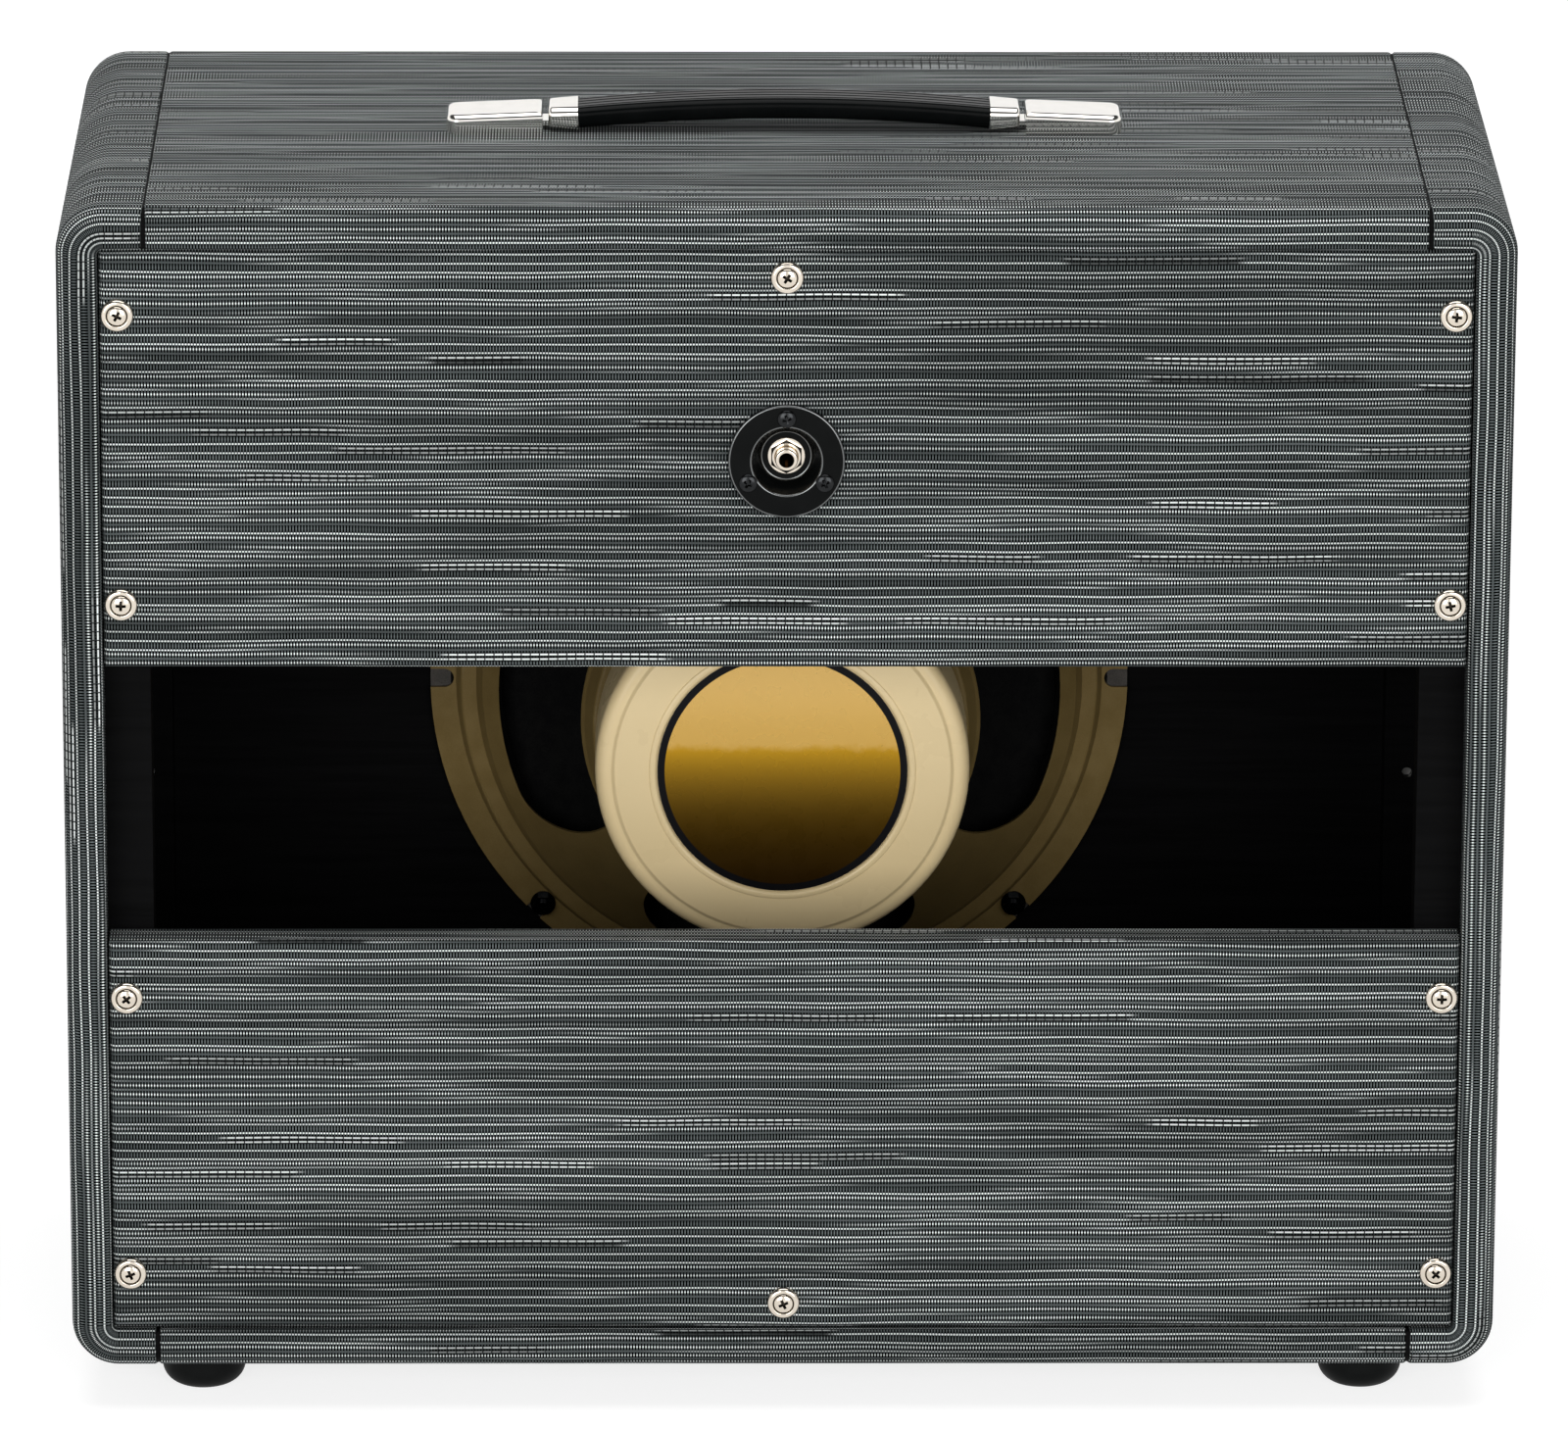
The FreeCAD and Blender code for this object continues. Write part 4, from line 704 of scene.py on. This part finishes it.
# Cabinet covering
def rim_profile():
    """Across the covering, front fold to rear fold: inset, y, outward angle and run."""
    bends = ((lining - lip_radius, front_y + lip_radius, lip_radius, 0.0),
             (rim_radius, front_y + rim_radius, rim_radius, -QUARTER),
             (rim_radius, back_y - rim_radius, rim_radius, 2 * QUARTER),
             (lining - lip_radius, back_y - lip_radius, lip_radius, QUARTER))
    points = [(lining, baffle_low.y, 0.0)]
    for inset, y, radius, start in bends:
        points += arc((inset, y), radius, start, -QUARTER, bend_steps)
    points.append((lining, upper_low.y, 0.0))
    profile = []
    run, last = 0.0, points[0]
    for point in points:
        run += math.dist(point[:2], last[:2])
        profile.append((*point, run))
        last = point
    return profile


def seam_stations(start, end, inward):
    """Straight stretch from a seam inwards: point, inward way, seam sink, seam pull and its way."""
    way = (end - start).normalized()
    reach = seam_steps[-1][0]
    return [(start + way * run, inward, share * seam_sink, (1 - run / reach) * seam_pull, way)
            for run, share in seam_steps]


def side_stations(side):
    """Round one side of the cabinet, from the top seam over both corners to the bottom seam."""
    centre_x = half_width - corner_radius
    stations = seam_stations(Vector((seam_x, top_z)), Vector((centre_x, top_z)), DOWN)
    for centre_z, start in ((top_z - corner_radius, QUARTER), (bottom_z + corner_radius, 0.0)):
        for x, z, angle in arc((centre_x, centre_z), corner_radius, start, -QUARTER, corner_steps):
            inward = Vector((-math.cos(angle), -math.sin(angle)))
            stations.append((Vector((x, z)), inward, 0.0, 0.0, inward))
    stations += seam_stations(Vector((seam_x, bottom_z)), Vector((centre_x, bottom_z)), UP)[::-1]
    return [tuple(Vector((v.x * side, v.y)) if isinstance(v, Vector) else v for v in s) for s in stations]


def strip_stations(z, inward):
    """Straight across the top or the bottom, between the seams."""
    left, right = Vector((strip_x, z)), Vector((-strip_x, z))
    return seam_stations(left, right, inward) + seam_stations(right, left, inward)[::-1]


def swept_covering(name, stations, shift):
    """Covering along stations, with its map in metres along and across the weave."""
    profile = rim_profile()
    rows, uvs = [], []
    run = 0.0
    for index, (point, inward, sink, pull, way) in enumerate(stations):
        if index:
            run += (point - stations[index - 1][0]).length
        row = []
        for inset, y, angle, across in profile:
            depth = inset - sink * math.cos(angle)
            slide = pull * smoothstep(back_y - rim_radius, back_y, abs(y))
            spot = point + inward * depth + way * slide
            row.append(Vector((spot.x, y - sink * math.sin(angle), spot.y)))
        rows.append(row)
        uvs.append([(run + shift, across + shift) for _, _, _, across in profile])
    return finish_mesh(grid_mesh(name, rows, uvs), about=(0, 0, middle_z))


def build_coverings():
    """Two side pieces and two strips of covering."""
    layouts = (("left", side_stations(1)), ("right", side_stations(-1)),
               ("top", strip_stations(top_z, DOWN)), ("bottom", strip_stations(bottom_z, UP)))
    for index, (name, stations) in enumerate(layouts):
        mesh = swept_covering("vinyl_" + name, stations, map_shift * index)
        made = place("vinyl_" + name, mesh, "covering_vinyl", "cabinet", ["covering_" + name])
        thicken(made, covering)


# Panels wrapped in vinyl and the grille in its cloth
def panel_rings(face_y, rear_y, edge, fold):
    """Rings of a wrapped panel, from its far fold to its face: inset, y and run past the face."""
    way = 1 if face_y > rear_y else -1
    side_run = edge * QUARTER + abs(face_y - rear_y) - edge
    rings = [(fold, rear_y, side_run + fold), (0.0, rear_y, side_run)]
    for step in range(bend_steps + 1):
        angle = QUARTER * step / bend_steps
        rings.append((edge * (1 - math.cos(angle)), face_y - way * edge * (1 - math.sin(angle)),
                      edge * (QUARTER - angle)))
    return rings


def fill_face(shell, rim, face_y, hole):
    """Faces across the rim of a panel, round its hole where it has one."""
    if not hole:
        return [shell.faces.new(rim)]
    (middle_x, middle_height), radius = hole
    ring = [shell.verts.new((middle_x + x, face_y, middle_height + z))
            for x, z in circle(radius, hole_sides)]
    edges = [shell.edges.get((v[i - 1], v[i])) or shell.edges.new((v[i - 1], v[i]))
             for v in (rim, ring) for i in range(len(v))]
    filled = bmesh.ops.triangle_fill(shell, use_beauty=True, edges=edges)["geom"]
    return [face for face in filled if isinstance(face, bmesh.types.BMFace)]


def wrapped_panel(name, low, high, face_y, rear_y, edge, fold, hole=None):
    """Sheet pulled over a board: its face, rounded edges, sides and a fold on the far side."""
    rings = panel_rings(face_y, rear_y, edge, fold)
    half_x, half_z = (high.x - low.x) / 2, (high.z - low.z) / 2
    middle = (low + high) / 2
    signs = ((1, 1), (-1, 1), (-1, -1), (1, -1))
    shell = bmesh.new()
    layer = shell.loops.layers.uv.new(WEAVE_MAP)
    corners = [[shell.verts.new((middle.x + sx * (half_x - inset), y, middle.z + sz * (half_z - inset)))
                for sx, sz in signs] for inset, y, _ in rings]
    for ring in range(len(rings) - 1):
        outer, inner = corners[ring], corners[ring + 1]
        for c in range(4):
            d = (c + 1) % 4
            face = shell.faces.new((outer[c], outer[d], inner[d], inner[c]))
            for loop, step in zip(face.loops, (ring, ring, ring + 1, ring + 1)):
                run = rings[step][2]
                if signs[c][1] == signs[d][1]:
                    loop[layer].uv = (loop.vert.co.x, middle.z + signs[c][1] * (half_z - edge + run))
                else:
                    loop[layer].uv = (signs[c][0] * (half_x - edge + run), loop.vert.co.z)
    for face in fill_face(shell, corners[-1], face_y, hole):
        for loop in face.loops:
            loop[layer].uv = (loop.vert.co.x, loop.vert.co.z)
    mesh = bpy.data.meshes.new(name)
    shell.to_mesh(mesh)
    shell.free()
    return finish_mesh(mesh, about=(middle.x, (face_y + rear_y) / 2, middle.z))


def build_wrapped_panels():
    """Vinyl of the two back panels, and the grille cloth."""
    panels = (("upper", upper_low, upper_high, ((0, jack_z), dish_hole_radius)),
              ("lower", lower_low, lower_high, None))
    for side, low, high, hole in panels:
        name = side + "_panel_vinyl"
        mesh = wrapped_panel(name, low, high, high.y, low.y, panel_edge, panel_fold, hole)
        thicken(place(name, mesh, "covering_vinyl", "cabinet", [side + "_back_covering"]), covering)
    name = "grille_cloth_sheet"
    mesh = wrapped_panel(name, cloth_low, cloth_high, cloth_low.y, cloth_high.y, cloth_edge, cloth_fold)
    made = place(name, mesh, "grille_cloth", "cabinet", ["grille_cloth"])
    thicken(made, cloth_sheet)


# Fasteners set at their places by geometry nodes
def fastener_tree():
    """Copies of one fastener on points, each turned at random about its own axis."""
    tree = bpy.data.node_groups.new("fasteners_at_places", "GeometryNodeTree")
    sockets = (("Places", "Geometry"), ("Fastener", "Object"), ("Largest Turn", "Vector"), ("Seed", "Int"),
               ("Finish", "Material"))
    for label, kind in sockets:
        tree.interface.new_socket(label, in_out="INPUT", socket_type="NodeSocket" + kind)
    tree.interface.new_socket("Fasteners", in_out="OUTPUT", socket_type="NodeSocketGeometry")
    net = Wiring(tree)
    source = tree.nodes.new("NodeGroupInput").outputs
    shape = net.node("GeometryNodeObjectInfo", {"Object": source["Fastener"], "As Instance": True})
    limits = {0: ORIGIN, 1: source["Largest Turn"], "Seed": source["Seed"]}
    turn = net.node("FunctionNodeRandomValue", limits, data_type="FLOAT_VECTOR")
    copies = net.node("GeometryNodeInstanceOnPoints", {
        "Points": source["Places"], "Instance": shape.outputs["Geometry"], "Rotation": turn.outputs[0]})
    real = net.node("GeometryNodeRealizeInstances", {0: copies.outputs[0]})
    painted = net.node("GeometryNodeSetMaterial", {
        "Geometry": real.outputs[0], "Material": source["Finish"]})
    net.put(tree.nodes.new("NodeGroupOutput").inputs[0], painted.outputs[0])
    return tree


fasteners = fastener_tree()


def set_fasteners(name, mesh, places, axis, seed, slot, node):
    """Put copies of a fastener at its places, as one plain mesh that stands for its node."""
    pattern = bpy.data.objects.new(name + "_pattern", mesh)
    points = bpy.data.meshes.new(name + "_places")
    points.from_pydata(places, [], [])
    host = add_object(name + "_host", points)
    modifier = host.modifiers.new("places", "NODES")
    modifier.node_group = fasteners
    values = {"Fastener": pattern, "Largest Turn": [2 * math.pi * part for part in axis], "Seed": seed,
              "Finish": finishes[slot]}
    for socket in fasteners.interface.items_tree:
        if socket.name in values:
            modifier[socket.identifier] = values[socket.name]
    made = baked(host)
    made.name = name
    bpy.data.objects.remove(host)
    bpy.data.objects.remove(pattern)
    place(name, made, slot, "cabinet", [node])


def cross_recess(radius, depth, top, upright):
    """Tapered cross-shaped cutter whose arms reach a radius."""
    arm = radius * recess_arm
    outline = []
    corner = [(radius, arm), (arm, arm), (arm, radius)]
    for _ in range(4):
        outline += corner
        corner = [(-y, x) for x, y in corner]
    rings = []
    for level, share in ((top, 1.0), (top - depth, recess_floor)):
        spots = [(x * share, y * share) for x, y in outline]
        rings.append([(x, y, level) if upright else (x, level, y) for x, y in spots])
    return finish_mesh(grid_mesh("cross_recess", rings, wrap=True, caps=True))


def mark_faces(mesh, mark, share):
    """Give each face a mark from 0 to 1, worked out from its middle."""
    marks = mesh.attributes.new(mark, "FLOAT", "FACE")
    for face in mesh.polygons:
        marks.data[face.index].value = share(face.center)


def mark_recess(mesh, sizes):
    """Mark the faces that lie inside a domed head, which are those of its recess, for painted shade."""
    radius, edge, height, _, _, _, depth = sizes

    def inside(spot):
        reach = min(math.hypot(spot.x, spot.z) / radius, 1)
        dome = edge + (height - edge) * math.sqrt(1 - reach * reach)
        return float(height - depth - mark_slack < spot.y < dome - mark_slack and reach < recess_limit)

    mark_faces(mesh, RECESS_SHADE_MARK, inside)


def cut_recess(mesh, cutter):
    """Mesh with the cutter's shape taken out."""
    made = [add_object("cut_" + str(i), item) for i, item in enumerate((mesh, cutter))]
    cut = made[0].modifiers.new("recess", "BOOLEAN")
    cut.operation = "DIFFERENCE"
    cut.solver = "EXACT"
    cut.object = made[1]
    result = baked(made[0])
    for item in made:
        bpy.data.objects.remove(item)
    return finish_mesh(result)


def cross_screw(name, sizes, upright=False):
    """Screw with a domed head and a cross recess. An upright one has its head below."""
    radius, edge, height, shank, length, reach, depth = sizes
    way = -1 if upright else 1
    profile = [(0.0, -length), (shank, -length), (shank, 0.0), (radius, 0.0), (radius, edge)]
    for step in range(1, dome_steps + 1):
        angle = QUARTER * step / dome_steps
        profile.append((radius * math.cos(angle), edge + (height - edge) * math.sin(angle)))
    mesh = finish_mesh(turned(name, [(r, way * along) for r, along in profile], ORIGIN, upright))
    return cut_recess(mesh, cross_recess(reach, way * depth, way * (height + SAME_POINT), upright))


def cup_washer():
    """Cup washer with a rounded rim and a bowl for the screw's head."""
    bowl_top = cup_height - cup_lip
    cup = [(cup_hole, cup_hole_floor), (cup_bowl, cup_bowl_floor), (cup_bowl, bowl_top)]
    cup += bend((cup_bowl + cup_lip, bowl_top), cup_lip, 2 * QUARTER, -QUARTER, cup_lip_steps)
    cup += bend((cup_radius - cup_round, cup_height - cup_round), cup_round, QUARTER, -QUARTER)
    cup += [(cup_radius, 0.0), (cup_hole, 0.0)]
    mesh = finish_mesh(turned("cup_washer", cup + cup[:1], ORIGIN))

    def in_bowl(spot):
        reach = math.hypot(spot.x, spot.z)
        return float(reach < cup_bowl + mark_slack / 2 and spot.y < bowl_top + mark_slack)

    # The bowl of the washer is marked for painted shade.
    mark_faces(mesh, RECESS_SHADE_MARK, in_bowl)
    return mesh


def build_fasteners():
    """Panel screws in cup washers, jack dish screws and foot screws."""
    around_y, around_z = (0, 1, 0), (0, 0, 1)
    places = [(0, panel_y, z) for z in centre_screw_rows]
    places += [(side * screw_x, panel_y, z) for side in (-1, 1) for z in upper_screw_rows + lower_screw_rows]
    set_fasteners("cup_washer_set", cup_washer(), places, around_y, washer_seed, "nickel", "cup_washers")
    mesh = cross_screw("panel_screw", panel_screw)
    mark_recess(mesh, panel_screw)
    set_fasteners("panel_screw_set", mesh, places, around_y, panel_seed, "nickel", "back_panel_screws")
    places = [(dish_screw_circle * math.cos(a), dish_rim_y, jack_z + dish_screw_circle * math.sin(a))
              for a in (QUARTER + 4 * QUARTER * step / 3 for step in range(3))]
    mesh = cross_screw("dish_screw", dish_screw)
    set_fasteners("dish_screw_set", mesh, places, around_y, dish_seed, "black_steel", "jack_dish_screws")
    places = [(x, y, foot_screw_z) for x in (-foot_x, foot_x) for y in (-foot_y, foot_y)]
    mesh = cross_screw("foot_screw", foot_screw, upright=True)
    set_fasteners("foot_screw_set", mesh, places, around_z, foot_seed, "steel", "foot_screws")


def build_jack_dish():
    """Black dish of the jack: flange, tapered well and floor, with rounded lips that carry a painted sheen.
    """
    lip, rim, floor = dish_lip, dish_rim_y - panel_y, dish_floor_y - panel_y
    back = floor - dish_floor
    foot = dish_mouth - (dish_rim_y - dish_floor_y) / dish_taper_rate
    centres = ((dish_flange - lip, rim - lip), (dish_mouth + lip, rim - lip), (foot - lip, floor + lip))
    profile = [(dish_flange, 0.0)]
    for centre, start, turn in zip(centres, (0.0, QUARTER, 0.0), (QUARTER, QUARTER, -QUARTER)):
        profile += bend(centre, lip, start, turn)
    profile += [(nut_bore, floor), (nut_bore, back), (foot + dish_wall, back), (dish_mouth + dish_wall, 0.0)]
    mesh = finish_mesh(turned("jack_cup", profile + profile[:1], (0, panel_y, jack_z)))

    # The rounded lips are marked for a painted sheen that stands in for their highlights.
    def worn(spot):
        section = (math.hypot(spot.x, spot.z - jack_z), spot.y - panel_y)
        return float(any(abs(math.dist(section, centre) - lip) < lip / 10 for centre in centres))

    mark_faces(mesh, SHEEN_EDGE_MARK, worn)
    place("jack_cup", mesh, "dish_black", "cabinet", ["jack_dish"])


def build_jack_nut():
    """Hexagon nut of the jack on its flat washer."""
    crown, bevel = nut_flats / 2, nut_bevel
    sixth = math.pi / 3
    corner = crown / math.cos(sixth / 2)
    columns = []
    for step in range(nut_sides):
        a = 2 * math.pi * step / nut_sides
        wall = crown / math.cos((a + sixth / 2) % sixth - sixth / 2)
        shoulder = nut_height - bevel * (wall - crown) / (corner - crown) - bevel
        section = ((nut_bore, 0.0), (washer_radius, 0.0), (washer_radius, washer_height - bevel / 2),
                   (washer_radius - bevel / 2, washer_height), (wall, washer_height), (wall, shoulder),
                   (crown - bevel, nut_height), (nut_bore + bevel, nut_height),
                   (nut_bore, nut_height - bevel))
        columns.append([Vector((radius * math.cos(a), dish_floor_y + along, jack_z + radius * math.sin(a)))
                        for radius, along in section])
    rows = list(zip(*columns))
    mesh = finish_mesh(grid_mesh("hex_nut", rows + rows[:1], wrap=True), sharp=NUT_SHARP)
    place("hex_nut", mesh, "nickel", "cabinet", ["jack_nut"])


# Loudspeaker
def waved_disc(name, outer, bend_radius, inner, start, drop, waves):
    """Pleated ring whose pleats step evenly from its outer lip to its inner edge."""
    steps = wave_steps * waves
    profile = [(outer, start)]
    for step in range(steps + 1):
        t = step / steps
        fall = t - wave_depth * math.sin(2 * math.pi * waves * t) / (2 * math.pi * waves)
        profile.append((bend_radius + (inner - bend_radius) * t, start + drop * fall))
    return finish_mesh(turned(name, profile, (0, flange_y, axis_z)), about=(0, 1, axis_z), sharp=QUARTER)


def build_speaker_soft_parts():
    """Cone edge and spider, pleated rings between the basket and the cone."""
    parts = (("cone_edge", surround, "cone_paper", "surround", surround_sheet),
             ("pleated_spider", spider, "spider_cloth", "spider", spider_sheet))
    for name, sizes, slot, node, sheet in parts:
        made = place(name, waved_disc(name, *sizes), slot, stands_for=[node])
        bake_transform(made)
        thicken(made, sheet, 1)


def build_magnet_can():
    """Cream cover of the magnet: pressed can with a stepped shoulder and a rounded lip round the label."""
    low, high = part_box("magnet_cover")
    radius, rear = high.x, high.y
    inner, inside, seat = radius - can_wall, rear - can_wall, rear - can_label_depth
    bead = rear - can_step
    profile = [(inner, low.y), (radius, low.y)]
    profile += bend((radius - can_edge, bead - can_edge), can_edge, 0.0, QUARTER)
    profile += [(can_step_start + (can_step_end - can_step_start) * step / bend_steps,
                 bead + can_step * smoothstep(0, bend_steps, step)) for step in range(bend_steps + 1)]
    for step in range(2 * bend_steps + 1):
        angle = QUARTER * step / bend_steps
        foot = rear if angle < QUARTER else seat
        crown = rear + can_lip_rise - foot
        reach = can_label_radius + can_lip * (1 + math.cos(angle)) / 2
        profile.append((reach, foot + crown * math.sin(angle)))
    profile += [(0.0, seat), (0.0, inside)]
    profile += bend((inner - can_inner_edge, inside - can_inner_edge), can_inner_edge, QUARTER, -QUARTER)
    mesh = finish_mesh(turned("magnet_can", profile + profile[:1], (0, 0, axis_z)), sharp=ROUND_SHARP)
    place("magnet_can", mesh, "cover_cream", "cabinet", ["magnet_cover"])


# Cords
def nurbs_line(name, points, depth):
    """Curve of one smooth spline along a route's control points."""
    curve = bpy.data.curves.new(name, "CURVE")
    curve.dimensions = "3D"
    spline = curve.splines.new("NURBS")
    spline.points.add(len(points) - 1)
    for spot, point in zip(spline.points, points):
        spot.co = (*point, 1.0)
    spline.order_u = 3
    spline.use_endpoint_u = True
    spline.resolution_u = 12
    curve.bevel_depth = depth
    curve.bevel_resolution = 4
    curve.use_fill_caps = True
    return curve


def build_lead():
    """Black two-core lead from the jack to the terminal strip."""
    curve = nurbs_line("jack_lead", lead_points, lead_diameter / 2)
    made = place("jack_lead", curve, "lead_black", "cabinet", ["speaker_lead"])


def build_braids():
    """Two tinsel braids from the terminal strip to the cone."""
    slant = math.sqrt(0.5)
    for name, side in (("left", 1), ("right", -1)):
        across = side * braid_side
        points = [(-slant * (u + across), flange_y + s, axis_z + slant * (u - across))
                  for u, s in braid_route]
        meshes = []
        for depth in (0.0, braid_diameter / 2):
            line = add_object("braid_line", nurbs_line("braid_line", points, depth))
            meshes.append(bpy.data.meshes.new_from_object(line))
            bpy.data.objects.remove(line)
        made = place("braid_" + name, finish_mesh(meshes[1]), "copper", stands_for=["tinsel_leads"])
        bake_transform(made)


# Handle
def grip_section():
    """Across the grip: rounded block with lengthwise grooves in its top, as (y, z) from its middle."""
    out_y, out_z = grip_width / 2 - grip_edge, grip_tall / 2 - grip_edge
    points = []
    for index, (y, z) in enumerate(((out_y, out_z), (-out_y, out_z), (-out_y, -out_z), (out_y, -out_z))):
        points += bend((y, z), grip_edge, index * QUARTER, QUARTER)
        if index == 0:
            for groove in range(groove_count):
                middle = ((groove_count - 1) / 2 - groove) * groove_spacing
                points += bend((middle, grip_tall / 2), groove_radius, 4 * QUARTER, -2 * QUARTER,
                               groove_steps)
    return points


def build_grip():
    """Grip in two halves, each curving down from the raised middle to its own end."""
    section = grip_section()
    radius = (grip_half_length ** 2 + grip_rise ** 2) / (2 * grip_rise)
    height = top_z + grip_base
    hub_z = height + grip_rise - radius
    swing = math.asin(grip_half_length / radius)
    for name, side in (("left", 1), ("right", -1)):
        rows = []
        for step in range(grip_steps + 1):
            angle = swing * step / grip_steps
            out, up = side * math.sin(angle), math.cos(angle)
            rows.append([((radius + z) * out, y, hub_z + (radius + z) * up) for y, z in section])
        mesh = finish_mesh(grid_mesh("grip_" + name, rows, wrap=True, caps=True), sharp=ROUND_SHARP)
        made = place("grip_" + name, mesh, "grip_black", stands_for=["handle_grip"])
        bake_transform(made)


# Finishes of the CAD nodes
def dress_cad_nodes():
    """Give each shown CAD node the finish of its slot."""
    for part in frame["record"]["subparts"]:
        for holder in frame["nodes"][part["node"]].material_slots:
            holder.material = finishes[part["material_slot"]]


# Stage, lights and camera
def aim(made, spot, target):
    """Put an object at a spot, looking at a target."""
    made.location = spot
    made.rotation_mode = "QUATERNION"
    made.rotation_quaternion = (Vector(target) - Vector(spot)).to_track_quat("-Z", "Y")


def build_camera():
    """Camera behind and above the cabinet, as in the photograph."""
    data = bpy.data.cameras.new("camera")
    data.sensor_width = sensor
    data.lens = focal_pixels / image_width * sensor
    data.clip_end = camera_reach
    made = add_object("camera", data)
    aim(made, camera_place, camera_target)
    made.rotation_quaternion = made.rotation_quaternion @ Quaternion((0, 0, 1), camera_roll)
    bpy.context.scene.camera = made


def seen_directly(net):
    """1 for camera, glossy and transmission rays."""
    path = net.node("ShaderNodeLightPath").outputs
    seen = net.larger(path["Is Camera Ray"], path["Is Glossy Ray"])
    return net.larger(seen, path["Is Transmission Ray"])


def stage_white():
    """Pale matt paint that shows white and keeps the cabinet's soft shadow."""
    material = bpy.data.materials.new("stage_white")
    material.use_nodes = True
    tree = material.node_tree
    tree.nodes.clear()
    net = Wiring(tree)
    pale = net.node("ShaderNodeBsdfDiffuse", {"Color": floor_pale})
    shadow = net.node("ShaderNodeBsdfDiffuse", {"Color": floor_shadow})
    reach = net.length(net.node("ShaderNodeTexCoord").outputs["Object"])
    level = net.blend(net.band(reach, near_floor, far_floor), near_glow, far_glow)
    glow = net.node("ShaderNodeEmission", {"Color": WHITE, "Strength": level})
    white = net.node("ShaderNodeAddShader", {0: shadow.outputs[0], 1: glow.outputs[0]})
    mixed = net.node("ShaderNodeMixShader", {0: seen_directly(net), 1: pale.outputs[0], 2: white.outputs[0]})
    net.put(tree.nodes.new("ShaderNodeOutputMaterial").inputs["Surface"], mixed.outputs[0])
    return material


def build_stage():
    """Large pale floor."""
    rows = [[(x, y, 0.0) for x in (-floor_reach, floor_reach)] for y in (-floor_reach, floor_reach)]
    mesh = grid_mesh("floor", rows)
    mesh.materials.append(stage_white())
    add_object("floor", mesh)


def build_world():
    """Even soft light from all round. It shows white round the horizon and dark overhead."""
    world = bpy.data.worlds.new("studio")
    world.use_nodes = True
    bpy.context.scene.world = world
    net = Wiring(world.node_tree)
    sky = world.node_tree.nodes["Background"].inputs
    sky["Color"].default_value = WHITE
    height = net.parts(net.node("ShaderNodeTexCoord").outputs["Generated"])[2]
    backdrop = net.blend(net.band(height, backdrop_top, ceiling_start), 1.0, ceiling_light)
    net.put(sky["Strength"], net.blend(seen_directly(net), sky_light, backdrop))


def build_lights():
    """Two wide soft boxes on the camera side, and one overhead."""
    for name, spot, size, power in soft_boxes:
        data = bpy.data.lights.new(name, "AREA")
        data.shape = "SQUARE"
        data.size = size
        data.energy = power
        aim(add_object(name, data), spot, (0, 0, middle_z))


build_camera()
build_lead()
build_braids()
build_coverings()
build_wrapped_panels()
build_fasteners()
build_jack_dish()
build_jack_nut()
build_speaker_soft_parts()
build_magnet_can()
build_grip()
dress_cad_nodes()
build_stage()
build_world()
build_lights()

bpy.context.scene.view_settings.view_transform = "Standard"
